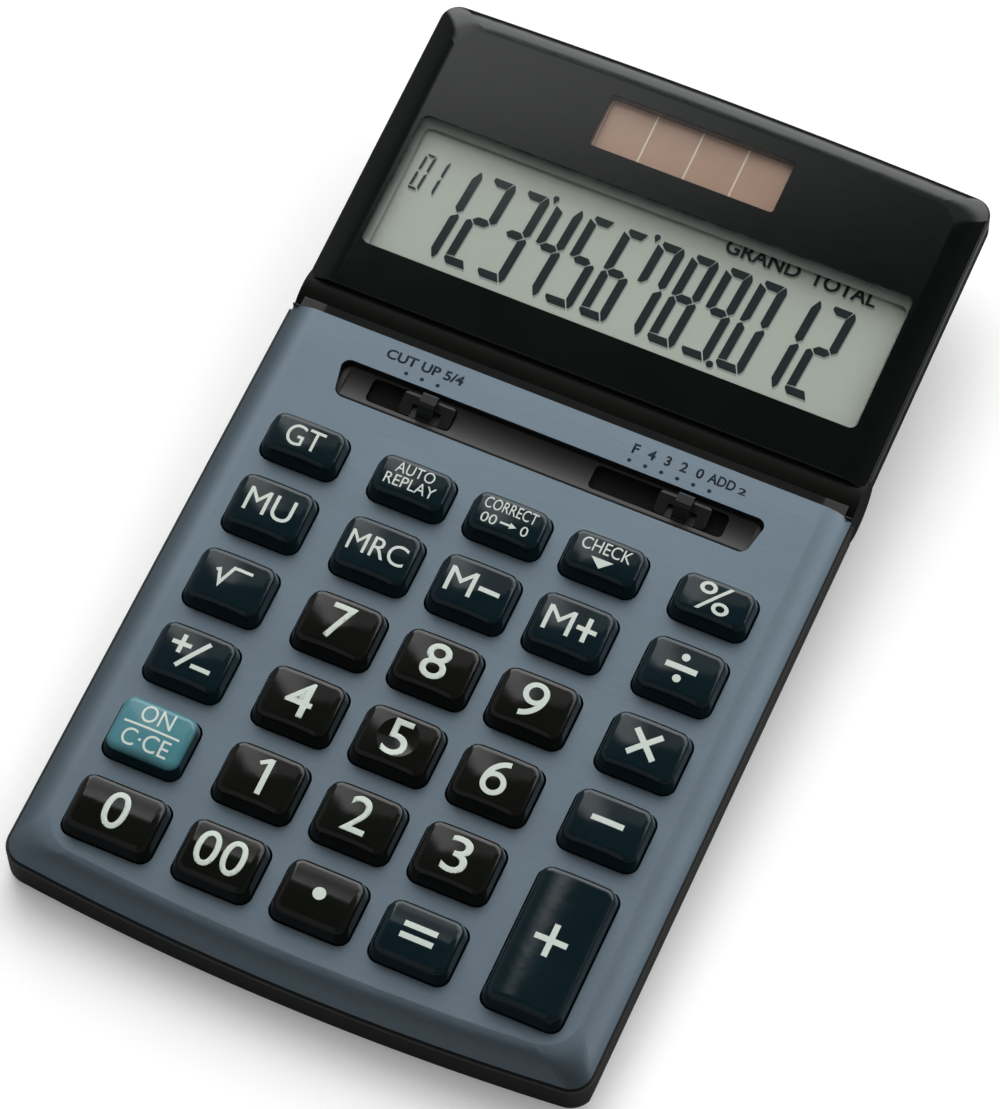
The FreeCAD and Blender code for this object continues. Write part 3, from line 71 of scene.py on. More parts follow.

# The lit part of the switch trough, with painted shade round and under it: its middle, half its size,
# its corners' radius, the width of the gap painted dark at its rim, and its floor
TROUGH_MIDDLE = (0.15, 107.9)
TROUGH_HALF = (39.8, 3.3)
TROUGH_CORNER = 2.0
TROUGH_GAP = 0.4
TROUGH_FLOOR = -2.0

# Where the fascia ends, and half the width of the hinge's hollow behind it, which is painted in shade
FASCIA_REAR = 117.9
CRADLE_HALF = 47.0

# Half the solar cell's width, and half the width of its lines as a part of one section
SOLAR_HALF = 17.6
SOLAR_LINE = 0.018

# How much a clear pane mirrors, seen along its face and seen square on, and how fast that falls
MIRROR_GRAZING = 0.9
MIRROR_SQUARE_ON = 0.03
MIRROR_POWER = 5.0

# The low gloss of the display's rear shell
REAR_GLOSS = 0.06

# Heights on a key between which the cap's colour takes over, and the height where its top starts
CAP_STARTS = 1.9
CAP_FULLY = 2.5
KEY_TOP = 2.6

# Printing on the keys and the fascia, in millimetres. It is cut along a grid, dropped from a
# height onto the surface, and lifted off it by a little.
INK_THICKNESS = 0.03
DROP_FROM = 30.0
KEY_INK_LIFT = 0.02
KEY_GRID = 0.7
FASCIA_INK_LIFT = 0.005
FASCIA_GRID = 3.0
TEXT_Y = 115.05
DOT_Y = 112.55
TEXT_HEIGHT = 2.0
TEXT_BOLD = 0.03
DOT_RADIUS = 0.38
SWITCH_STEP = 3.0
DIGIT_HEIGHT = 6.8
DIGIT_STROKE = 0.145
DIGIT_BOLD = 0.006
MITRE_LIMIT = 0.35

# The panel's content and its shadow: their levels, the shadow's shift and the digits' lean
CRYSTAL_Z = 2.56
SHADOW_Z = 2.52
SHADOW_SHIFT = (0.22, -0.42)
SLANT = 0.073
TITLE_Y = 37.7
TITLE_HEIGHT = 3.0
TITLE_BOLD = 0.025

# The clear window's opening in the display's face
PANE_HALF = 47.1
PANE_FRONT = 11.4
PANE_REAR = 38.9
PANE_CORNER = 1.2
PANE_DRAFT = 0.8
PANE_DEPTH = 3.0
PANE_LOW = 3.62
PANE_HIGH = 6.45
PANE_LEVELS = 6
LINER_GAP = 0.03
FACE = 6.6

# The studio's window, in degrees of compass direction and of height; the blur of its edge is a
# sine. Of each pair, the first is where a change starts and the second where it ends.
WINDOW_FACING = -15
WINDOW_EDGE = 70.1
WINDOW_EDGE_BLUR = (-0.008, 0.03)
WINDOW_LEFT_SIDE = (-51, -43)
WINDOW_RIGHT_SIDE = (110, 70)
WINDOW_FOOT = (4, 20)
WINDOW_LEFT_PART = (-20, -38)
WINDOW_RIGHT_PART = (15, 50)
WINDOW_LOW_PART = (60, 42)
LEFT_WALL = (-40, -60)
WALLS_TOP = (72, 40)

# How bright each part of the studio is, and half the floor's size in metres
WINDOW_TOP_LIGHT = 1.05
WINDOW_LOW_LIGHT = 2.7
WINDOW_MIDDLE_GAIN = 0.34
WINDOW_LEFT_GAIN = 1.05
WINDOW_RIGHT_LOSS = 0.3
ROOM_LIGHT = 0.05
LEFT_WALL_LIGHT = 0.14
CEILING_LIGHT = 0.03
FLOOR_GLOW = 0.14
FLOOR_HALF = 6.0

# The two lamps: place in metres, size in metres and power in watts
LAMPS = (
    ("overhead", (-0.35, 0.45, 1.35), 1.3, 12.5),
    ("fill", (0.9, -0.7, 1.1), 1.2, 5.1),
)

# The photograph's viewpoint, solved from the key grid: millimetres and degrees
CAMERA_PLACE = (172.510, -424.926, 781.029)
CAMERA_TURN = (30.63788, -1.05965, 24.08889)
CAMERA_LENS = 186.958
CAMERA_SENSOR = 36.0


# Materials


def srgb(red, green, blue):
    """A colour given as 0 to 255 display values, as linear values with alpha."""
    out = []
    for value in (red, green, blue):
        value /= 255
        out.append(value / 12.92 if value <= 0.04045 else ((value + 0.055) / 1.055) ** 2.4)
    return (*out, 1.0)


class Tree:
    """A node tree, with short calls for the nodes that the finishes and the studio share."""

    def __init__(self, tree):
        self.tree = tree

    def add(self, kind, **values):
        node = self.tree.nodes.new(kind)
        for name, value in values.items():
            setattr(node, name, value)
        return node

    def link(self, source, target):
        self.tree.links.new(source, target)

    def math(self, operation, *values):
        """One operation on numbers and sockets."""
        node = self.add("ShaderNodeMath", operation=operation)
        for socket, value in zip(node.inputs, values):
            if isinstance(value, (int, float)):
                socket.default_value = value
            else:
                self.link(value, socket)
        return node.outputs[0]

    def step(self, value, low, high):
        """A smooth step from 0 to 1; it falls when low is the greater."""
        node = self.add("ShaderNodeMapRange", interpolation_type="SMOOTHSTEP")
        self.link(value, node.inputs["Value"])
        node.inputs["From Min"].default_value = low
        node.inputs["From Max"].default_value = high
        return node.outputs["Result"]


class Nodes(Tree):
    """A material's node tree, with short calls for the nodes that the finishes use."""

    def __init__(self, name):
        self.material = bpy.data.materials.new(name)
        self.material.use_nodes = True
        super().__init__(self.material.node_tree)
        self.shader = self.tree.nodes["Principled BSDF"]
        self.output = self.tree.nodes["Material Output"]

    def set(self, **values):
        for name, value in values.items():
            self.shader.inputs[name.replace("_", " ")].default_value = value

    def position(self, scale=(1, 1, 1)):
        """Object coordinates in millimetres, scaled."""
        source = self.add("ShaderNodeTexCoord")
        mapping = self.add("ShaderNodeMapping")
        mapping.inputs["Scale"].default_value = [value / MM for value in scale]
        self.link(source.outputs["Object"], mapping.inputs["Vector"])
        return mapping.outputs["Vector"]

    def coordinate(self, base, axis):
        """How far a point is along one of a frame's axes, in millimetres."""
        direction = base.to_3x3() @ axis
        place = self.add("ShaderNodeVectorMath", operation="DOT_PRODUCT")
        self.link(self.position(), place.inputs[0])
        place.inputs[1].default_value = direction
        return self.math("SUBTRACT", place.outputs["Value"], direction.dot(base.translation) / MM)

    def painted_edge_highlight(self):
        """A painted highlight: 1 on sharp edges, broken up by a fine noise, and 0 elsewhere."""
        bevel = self.add("ShaderNodeBevel", samples=4)
        bevel.inputs["Radius"].default_value = HIGHLIGHT_RADIUS * MM
        turn = self.add("ShaderNodeVectorMath", operation="DOT_PRODUCT")
        self.link(bevel.outputs["Normal"], turn.inputs[0])
        self.link(self.add("ShaderNodeNewGeometry").outputs["Normal"], turn.inputs[1])
        sharp = self.step(turn.outputs["Value"], HIGHLIGHT_STARTS, HIGHLIGHT_FULLY)
        patches = self.spread(self.noise(self.position(), HIGHLIGHT_PATCHES), 0.3, 1.0)
        return self.math("MULTIPLY", sharp, patches)

    def noise(self, vector, scale, detail=3.0, roughness=0.5):
        node = self.add("ShaderNodeTexNoise")
        self.link(vector, node.inputs["Vector"])
        node.inputs["Scale"].default_value = scale
        node.inputs["Detail"].default_value = detail
        node.inputs["Roughness"].default_value = roughness
        return node.outputs["Fac"]

    def ramp(self, value, *stops):
        node = self.add("ShaderNodeValToRGB")
        self.link(value, node.inputs["Fac"])
        elements = node.color_ramp.elements
        while len(elements) < len(stops):
            elements.new(0.5)
        for element, (place, colour) in zip(elements, stops):
            element.position = place
            element.color = colour if len(colour) == 4 else (*colour, 1.0)
        return node.outputs["Color"]

    def spread(self, value, low, high):
        """Map 0 to 1 onto a range."""
        node = self.add("ShaderNodeMapRange")
        self.link(value, node.inputs["Value"])
        node.inputs["To Min"].default_value = low
        node.inputs["To Max"].default_value = high
        return node.outputs["Result"]

    def mix(self, factor, first, second):
        node = self.add("ShaderNodeMix", data_type="RGBA")
        for name, value in ((0, factor), (6, first), (7, second)):
            if isinstance(value, (int, float, tuple)):
                node.inputs[name].default_value = value
            else:
                self.link(value, node.inputs[name])
        return node.outputs[2]

    def bump(self, height, strength, distance):
        """Distance is in millimetres."""
        node = self.add("ShaderNodeBump")
        node.inputs["Strength"].default_value = strength
        node.inputs["Distance"].default_value = distance * MM
        self.link(height, node.inputs["Height"])
        self.link(node.outputs["Normal"], self.shader.inputs["Normal"])

    def colour(self, value):
        self.link(value, self.shader.inputs["Base Color"])

    def roughness(self, value):
        self.link(value, self.shader.inputs["Roughness"])


def brushed_fascia():
    """Blue-grey anodised aluminium, brushed across the width."""
    n = Nodes("fascia_aluminium")
    n.set(Metallic=1.0)
    grain = n.noise(n.position(scale=(0.012, 1.0, 1.0)), scale=9.0, detail=2.0, roughness=0.7)
    fine = n.noise(n.position(scale=(0.05, 3.0, 3.0)), scale=11.0, detail=2.0, roughness=0.6)
    cloud = n.noise(n.position(scale=(0.35, 1.0, 1.0)), scale=0.045, detail=3.0, roughness=0.55)
    streaks = n.math("ADD", n.math("MULTIPLY", grain, 0.6), n.math("MULTIPLY", fine, 0.4))
    base = n.ramp(
        streaks,
        (0.30, srgb(131, 147, 159)),
        (0.50, srgb(138, 154, 167)),
        (0.70, srgb(146, 162, 175)),
    )
    shade = n.ramp(cloud, (0.3, (0.9, 0.9, 0.9)), (0.7, (1.0, 1.0, 1.0)))
    mixed = n.add("ShaderNodeMix", data_type="RGBA", blend_type="MULTIPLY")
    mixed.inputs[0].default_value = 1.0
    n.link(base, mixed.inputs[6])
    n.link(shade, mixed.inputs[7])
    n.colour(mixed.outputs[2])
    n.roughness(n.spread(streaks, 0.40, 0.48))
    n.bump(streaks, strength=0.25, distance=0.008)
    return n.material


# The colour and roughness of painted shade, laid where shade falls in the case's recesses
PAINTED_SHADE_COLOUR = srgb(8, 9, 8)
PAINTED_SHADE_ROUGHNESS = 0.95


def moulded(name, dark, light, rough, grain=9.0, strength=0.25, depth=0.02, shade=None):
    """Moulded plastic with a fine grain and sharp edges painted a little paler as a highlight.

    rough gives its range of roughness, and shade works out, from the node tree, the places that are
    painted in shade, dark and dull.
    """
    n = Nodes(name)
    n.set(IOR=1.5)
    bumps = n.noise(n.position(), scale=grain, detail=3.0, roughness=0.55)
    cloud = n.noise(n.position(), scale=0.08, detail=4.0, roughness=0.6)
    # Painted highlight: sharp edges get a slightly paler colour
    pale = tuple(value + HIGHLIGHT_GAIN for value in light[:3]) + (1.0,)
    colour = n.mix(n.painted_edge_highlight(), n.mix(cloud, dark, light), pale)
    roughness = n.spread(cloud, *rough)
    if shade:
        # Painted shade: these places get a dark, dull colour where shade falls
        place = shade(n)
        colour = n.mix(place, colour, PAINTED_SHADE_COLOUR)
        roughness = n.math("MAXIMUM", roughness, n.math("MULTIPLY", place, PAINTED_SHADE_ROUGHNESS))
    n.colour(colour)
    n.roughness(roughness)
    n.bump(bumps, strength, depth)
    return n.material


def painted_shade_below_trough(n):
    """Painted shade under the trough's floor."""
    return n.step(n.coordinate(KEYBOARD, UP), TROUGH_FLOOR, TROUGH_FLOOR - 0.3)


def painted_trough_shade(n):
    """Painted shade in the gap round the trough's floor, in its slots, and in the hollow between fascia and
    hinge.
    """
    squares = []
    for axis, middle, half in zip((ACROSS, BACK), TROUGH_MIDDLE, TROUGH_HALF):
        offset = n.math("SUBTRACT", n.coordinate(KEYBOARD, axis), middle)
        beyond = n.math("SUBTRACT", n.math("ABSOLUTE", offset), half - TROUGH_CORNER)
        squares.append(n.math("POWER", n.math("MAXIMUM", beyond, 0.0), 2.0))
    reach = n.math("SQRT", n.math("ADD", *squares))
    inside = n.step(reach, TROUGH_CORNER + 2.0, TROUGH_CORNER + 1.0)
    rim = TROUGH_CORNER - TROUGH_GAP
    gap = n.step(reach, rim - 0.1, rim + 0.05)
    trough = n.math("MULTIPLY", inside, n.math("MAXIMUM", gap, painted_shade_below_trough(n)))
    behind = n.step(n.coordinate(KEYBOARD, BACK), FASCIA_REAR - 0.5, FASCIA_REAR)
    off_middle = n.math("ABSOLUTE", n.coordinate(KEYBOARD, ACROSS))
    middle = n.step(off_middle, CRADLE_HALF + 1.0, CRADLE_HALF)
    return n.math("MAXIMUM", trough, n.math("MULTIPLY", behind, middle))


def key_plastic(name, dark, light, cap=None):
    """Glossy keycaps: faint moulding waves and a few duller patches; cap colours the top alone."""
    n = Nodes(name)
    n.set(IOR=1.5)
    wave = n.noise(n.position(), scale=0.35, detail=2.0, roughness=0.4)
    worn = n.noise(n.position(), scale=0.22, detail=4.0, roughness=0.6)
    colour = n.mix(worn, dark, light)
    if cap:
        height = n.step(n.coordinate(KEYBOARD, UP), CAP_STARTS, CAP_FULLY)
        colour = n.mix(height, colour, n.mix(worn, *cap))
    n.colour(colour)
    n.roughness(n.spread(worn, 0.05, 0.13))
    n.bump(wave, strength=0.3, distance=0.05)
    return n.material


def clear_pane(name, tint, rough):
    """A thin clear pane, which mirrors more of the room the more obliquely it is seen."""
    n = Nodes(name)
    n.set(Base_Color=(1, 1, 1, 1), Metallic=1.0)
    n.roughness(n.spread(n.noise(n.position(), scale=0.3, detail=4.0, roughness=0.6), *rough))
    clear = n.add("ShaderNodeBsdfTransparent")
    clear.inputs["Color"].default_value = tint
    facing = n.add("ShaderNodeLayerWeight")
    facing.inputs["Blend"].default_value = 0.5
    grazing = n.math("POWER", facing.outputs["Facing"], MIRROR_POWER)
    mirrored = n.math("ADD", n.math("MULTIPLY", grazing, MIRROR_GRAZING), MIRROR_SQUARE_ON)
    mixer = n.add("ShaderNodeMixShader")
    n.link(mirrored, mixer.inputs["Fac"])
    n.link(clear.outputs["BSDF"], mixer.inputs[1])
    n.link(n.shader.outputs["BSDF"], mixer.inputs[2])
    n.link(mixer.outputs["Shader"], n.output.inputs["Surface"])
    return n.material


def printed(name, colour, rough=0.6):
    """Printing ink with a slightly uneven density."""
    n = Nodes(name)
    density = n.noise(n.position(), scale=2.2, detail=3.0, roughness=0.6)
    darker = tuple(0.86 * value for value in colour[:3]) + (1.0,)
    n.colour(n.mix(density, darker, colour))
    n.roughness(n.spread(density, rough - 0.06, rough + 0.06))
    return n.material


def metal(name, dark, light, rough, stretch=(1, 1, 1)):
    """Bare metal or metallic film, with marks that stretch can draw out along an axis."""
    n = Nodes(name)
    n.set(Metallic=1.0)
    marks = n.noise(n.position(scale=stretch), scale=3.0, detail=4.0, roughness=0.6)
    n.colour(n.mix(marks, dark, light))
    n.roughness(n.spread(marks, *rough))
    n.bump(marks, strength=0.2, distance=0.01)
    return n.material


def crystal_reflector():
    """The grey-green back of the liquid crystal panel, with its pearly grain."""
    n = Nodes("lcd_glass")
    n.set(IOR=1.45)
    pearl = n.noise(n.position(), scale=14.0, detail=3.0, roughness=0.6)
    cloud = n.noise(n.position(), scale=0.03, detail=2.0, roughness=0.5)
    n.colour(n.mix(cloud, srgb(172, 176, 169), srgb(181, 184, 177)))
    n.roughness(n.spread(pearl, 0.5, 0.62))
    n.bump(pearl, strength=0.12, distance=0.01)
    return n.material


def solar_film():
    """Red-brown amorphous silicon, split in four by thin pale lines."""
    n = Nodes("solar_brown")
    n.set(IOR=1.5)
    split = n.add("ShaderNodeSeparateXYZ")
    n.link(n.position(), split.inputs["Vector"])
    across = n.math("ADD", split.outputs["X"], SOLAR_HALF)
    section = n.math("DIVIDE", across, SOLAR_HALF / 2)
    offset = n.math("ABSOLUTE", n.math("SUBTRACT", section, n.math("ROUND", section)))
    line = n.math("LESS_THAN", offset, SOLAR_LINE)
    cloud = n.noise(n.position(), scale=0.25, detail=3.0, roughness=0.6)
    film = n.mix(cloud, srgb(159, 134, 119), srgb(175, 149, 134))
    n.colour(n.mix(line, film, srgb(214, 208, 196)))
    n.roughness(n.spread(cloud, 0.18, 0.3))
    n.bump(cloud, strength=0.1, distance=0.02)
    return n.material


def circuit_resist():
    """Solder resist over tracks that run in steps."""
    n = Nodes("board_green")
    tracks = n.add("ShaderNodeTexBrick")
    n.link(n.position(), tracks.inputs["Vector"])
    tracks.inputs["Color1"].default_value = srgb(34, 92, 52)
    tracks.inputs["Color2"].default_value = srgb(28, 80, 46)
    tracks.inputs["Mortar"].default_value = srgb(52, 118, 70)
    tracks.inputs["Scale"].default_value = 0.35
    tracks.inputs["Mortar Size"].default_value = 0.06
    n.colour(tracks.outputs["Color"])
    n.roughness(n.spread(n.noise(n.position(), 1.2), 0.3, 0.45))
    n.bump(tracks.outputs["Fac"], strength=0.4, distance=0.03)
    return n.material


FINISHES = {
    "fascia_aluminium": brushed_fascia(),
    # The case is painted in shade in its trough's gap and slots and in the hinge's hollow
    "case_black": moulded(
        "case_black", srgb(24, 25, 23), srgb(31, 32, 29), (0.34, 0.44),
        grain=7.0, strength=0.3, depth=0.02, shade=painted_trough_shade,
    ),
    "display_black": moulded(
        "display_black", srgb(7, 10, 9), srgb(11, 14, 13), (0.05, 0.10),
        grain=0.5, strength=0.08, depth=0.02,
    ),
    "digit_key": key_plastic("digit_key", srgb(11, 13, 11), srgb(18, 19, 15)),
    "function_key": key_plastic("function_key", srgb(8, 22, 27), srgb(13, 31, 37)),
    "clear_key": key_plastic(
        "clear_key", srgb(5, 24, 30), srgb(9, 32, 38),
        cap=(srgb(62, 112, 122), srgb(80, 130, 138)),
    ),
    "silicone": moulded(
        "silicone", srgb(150, 152, 150), srgb(165, 166, 163), (0.5, 0.6), grain=2.0
    ),
    "board_green": circuit_resist(),
    "chip_resin": moulded(
        "chip_resin", srgb(16, 16, 17), srgb(26, 26, 27), (0.2, 0.35),
        grain=0.6, strength=0.5, depth=0.1,
    ),
    "component_metal": metal(
        "component_metal", srgb(150, 150, 152), srgb(185, 185, 188), (0.3, 0.4)
    ),
    "cell_steel": metal("cell_steel", srgb(176, 176, 178), srgb(205, 205, 208), (0.18, 0.3)),
    "contact_metal": metal("contact_metal", srgb(190, 160, 92), srgb(214, 184, 120), (0.2, 0.32)),
    "screw_steel": metal("screw_steel", srgb(92, 92, 95), srgb(128, 128, 132), (0.28, 0.42)),
    "pin_steel": metal(
        "pin_steel", srgb(170, 170, 174), srgb(196, 196, 200), (0.16, 0.26), stretch=(0.1, 1, 1)
    ),
    "foot_rubber": moulded(
        "foot_rubber", srgb(26, 26, 26), srgb(36, 36, 36), (0.75, 0.9),
        grain=5.0, strength=0.6, depth=0.05,
    ),
    "ribbon_film": metal(
        "ribbon_film", srgb(150, 96, 44), srgb(186, 128, 66), (0.3, 0.4), stretch=(3, 0.1, 1)
    ),
    "lens_clear": clear_pane("lens_clear", (0.97, 0.98, 0.97, 1), (0.02, 0.05)),
    "lcd_glass": crystal_reflector(),
    "zebra_rubber": moulded(
        "zebra_rubber", srgb(60, 60, 62), srgb(120, 120, 122), (0.6, 0.7), grain=4.0
    ),
    "solar_pane": clear_pane("solar_pane", (0.96, 0.94, 0.92, 1), (0.03, 0.07)),
    "solar_brown": solar_film(),
    # The switches are painted in shade below the trough's floor
    "switch_black": moulded(
        "switch_black", srgb(15, 16, 14), srgb(23, 24, 21), (0.32, 0.44),
        grain=6.0, strength=0.3, depth=0.02, shade=painted_shade_below_trough,
    ),
}

# The display's rear shell has a grained face, duller than the gloss of its front
REAR_SHELL = moulded(
    "display_rear", srgb(12, 14, 12), srgb(19, 21, 18), (0.34, 0.42),
    grain=5.0, strength=0.2, depth=0.02,
)
rear_shader = REAR_SHELL.node_tree.nodes["Principled BSDF"]
rear_shader.inputs["Specular IOR Level"].default_value = REAR_GLOSS

SLOTS = {item["node"]: item["material_slot"] for item in frame["record"]["subparts"]}
for node, obj in frame["nodes"].items():
    finish = REAR_SHELL if node == "display_back" else FINISHES[SLOTS[node]]
    obj.data.materials.clear()
    obj.data.materials.append(finish)
    for polygon in obj.data.polygons:
        polygon.material_index = 0

LEGEND_INK = printed("legend_ink", srgb(198, 207, 199))
FASCIA_INK = printed("fascia_ink", srgb(20, 32, 42), 0.85)
CRYSTAL_INK = printed("crystal_ink", srgb(12, 27, 32), 0.3)
CRYSTAL_SHADOW = printed("crystal_shadow", srgb(148, 152, 147), 0.5)


# Glyphs: flat outlines as bmeshes, in millimetres once they are fitted to a size


def link(obj):
    bpy.context.scene.collection.objects.link(obj)
    return obj


def mesh_of(name, bm):
    mesh = bpy.data.meshes.new(name)
    bm.to_mesh(mesh)
    bm.free()
    return mesh


def filled(curve):
    """A curve's filled outline as a flat bmesh; the curve itself is removed."""
    holder = link(bpy.data.objects.new("outline", curve))
    bpy.context.view_layer.update()
    graph = bpy.context.evaluated_depsgraph_get()
    mesh = bpy.data.meshes.new_from_object(holder.evaluated_get(graph))
    bm = bmesh.new()
    bm.from_mesh(mesh)
    bpy.data.objects.remove(holder)
    bpy.data.curves.remove(curve)
    bpy.data.meshes.remove(mesh)
    return bm


def text_mesh(text, bold=0.0):
    """A text in the built-in face, in the face's own unit."""
    curve = bpy.data.curves.new("words", "FONT")
    curve.body = text
    curve.offset = bold
    curve.resolution_u = 6
    curve.align_x = "CENTER"
    return filled(curve)


def outline_mesh(loops):
    """Closed loops of points as a flat bmesh; a loop inside another is a hole."""
    curve = bpy.data.curves.new("outline", "CURVE")
    curve.dimensions = "2D"
    curve.fill_mode = "BOTH"
    for loop in loops:
        spline = curve.splines.new("POLY")
        spline.points.add(len(loop) - 1)
        for point, (x, y) in zip(spline.points, loop):
            point.co = (x, y, 0, 1)
        spline.use_cyclic_u = True
    return filled(curve)


def bar(x0, y0, x1, y1):
    """A rectangle from one corner to the other."""
    return [(x0, y0), (x1, y0), (x1, y1), (x0, y1)]


def ring(x, y, radius_x, radius_y, steps=40):
    """An ellipse of points."""
    turn = 2 * math.pi / steps
    return [
        (x + radius_x * math.cos(turn * k), y + radius_y * math.sin(turn * k))
        for k in range(steps)
    ]


def stroke(points, width):
    """An open line of constant width as one closed loop, with square ends and mitred corners."""
    sides = ([], [])
    half = width / 2
    for index, point in enumerate(points):
        here = Vector(point)
        before = Vector(points[index - 1]) if index else None
        after = Vector(points[index + 1]) if index < len(points) - 1 else None
        directions = [
            (here - before).normalized() if before is not None else None,
            (after - here).normalized() if after is not None else None,
        ]
        known = [d for d in directions if d is not None]
        along = sum(known, Vector((0, 0))).normalized()
        normal = Vector((-along.y, along.x))
        reach = half / max(abs(along.dot(known[0])), MITRE_LIMIT)
        sides[0].append(tuple(here + normal * reach))
        sides[1].append(tuple(here - normal * reach))
    return sides[0] + sides[1][::-1]


def arc(x, y, radius_x, radius_y, first, last, steps=18):
    """Points along part of an ellipse, angles in degrees."""
    out = []
    for k in range(steps + 1):
        angle = math.radians(first + (last - first) * k / steps)
        out.append((x + radius_x * math.cos(angle), y + radius_y * math.sin(angle)))
    return out


def six(thick):
    """The six: a bowl with a hole, and a back that curves over to a flat end."""
    half_x, half_y = 0.33, 0.32
    back_x, back_y, reach_x, reach_y = 0.30, 0.34, 0.63, 0.66
    outer = ring(0.0, half_y, half_x, half_y, 60)
    back_outer = arc(back_x, back_y, reach_x, reach_y, 180, 96, 24)
    back_inner = arc(back_x, back_y, reach_x - thick, reach_y - thick, 180, 96, 24)

    def in_bowl(point):
        return (point[0] / half_x) ** 2 + ((point[1] - half_y) / half_y) ** 2 < 1

    inner = [point for point in back_inner if not in_bowl(point)]
    start = min(range(len(outer)), key=lambda k: math.dist(outer[k], inner[0]))
    end = min(range(len(outer)), key=lambda k: math.dist(outer[k], back_outer[0]))
    bowl = []
    k = start
    while k != end:
        bowl.append(outer[k])
        k = (k - 1) % len(outer)
    hole = ring(0.0, half_y, half_x - thick, half_y - thick * 0.92, 40)
    return [bowl + back_outer + inner[::-1], hole]


def turned(loops):
    """The same glyph upside down, which makes a nine of a six."""
    return [[(-x, 1.0 - y) for x, y in loop] for loop in loops]


def one(thick):
    """The one: a plain stem with a short flag."""
    left = 0.02
    right = left + thick
    return [
        [
            (left, 0.0), (right, 0.0), (right, 1.0), (0.04, 1.0),
            (-0.20, 0.84), (-0.14, 0.75), (left, 0.85),
        ]
    ]


def root_sign():
    """The square root: a tick, a rising stroke and a level bar."""
    return [stroke([(-3.2, 0.55), (-2.65, 0.85), (-1.75, -1.9), (-0.25, 2.0), (3.2, 2.0)], 0.62)]


def sign_change():
    """A plus, a slash and a minus on a falling line."""
    return [
        shifted(cross(1.8, 0.8), -2.3, 1.2),
        stroke([(-1.75, -2.9), (2.35, 2.95)], 0.8),
        bar(0.75, -2.4, 4.3, -1.6),
    ]


def cross(half, thick, tall=None):
    """A plus sign as one loop."""
    tall = tall or half
    t = thick / 2
    return [
        (-half, -t), (-t, -t), (-t, -tall), (t, -tall), (t, -t), (half, -t),
        (half, t), (t, t), (t, tall), (-t, tall), (-t, t), (-half, t),
    ]


def arrow():
    """The arrow between the zeros of the correct key."""
    return [
        (-0.9, -1.55), (0.9, -1.55), (0.9, -1.95), (2.15, -1.35),
        (0.9, -0.75), (0.9, -1.15), (-0.9, -1.15),
    ]


def spun(loop, degrees):
    """A loop turned about the origin."""
    c, s = math.cos(math.radians(degrees)), math.sin(math.radians(degrees))
    return [(c * x - s * y, s * x + c * y) for x, y in loop]


def shifted(loop, dx, dy):
    return [(x + dx, y + dy) for x, y in loop]


def fitted(bm, width, height, x=0.0, y=0.0):
    """Scale a flat bmesh to a width and a height and centre it; a width of None keeps its shape."""
    low = Vector((min(v.co.x for v in bm.verts), min(v.co.y for v in bm.verts)))
    high = Vector((max(v.co.x for v in bm.verts), max(v.co.y for v in bm.verts)))
    scale_y = height / (high.y - low.y)
    scale_x = width / (high.x - low.x) if width else scale_y
    middle = (low + high) / 2
    for vert in bm.verts:
        vert.co.x = (vert.co.x - middle.x) * scale_x + x
        vert.co.y = (vert.co.y - middle.y) * scale_y + y
    return bm


def merged(pieces):
    """Several flat bmeshes as one."""
    out = bmesh.new()
    for piece in pieces:
        mesh = mesh_of("piece", piece)
        out.from_mesh(mesh)
        bpy.data.meshes.remove(mesh)
    return out


def words(text, width, height, x=0.0, y=0.0, bold=0.0):
    """A text of a given width and height, centred on a point."""
    return fitted(text_mesh(text, bold), width, height, x, y)


def digit(character, width, height, x=0.0):
    """A key's digit: the one, six and nine are drawn, the others come from the built-in face."""
    drawn = {
        "1": one(DIGIT_STROKE),
        "6": six(DIGIT_STROKE),
        "9": turned(six(DIGIT_STROKE)),
    }
    if character in drawn:
        return fitted(outline_mesh(drawn[character]), width, height, x)
    return words(character, width, height, x, bold=DIGIT_BOLD)


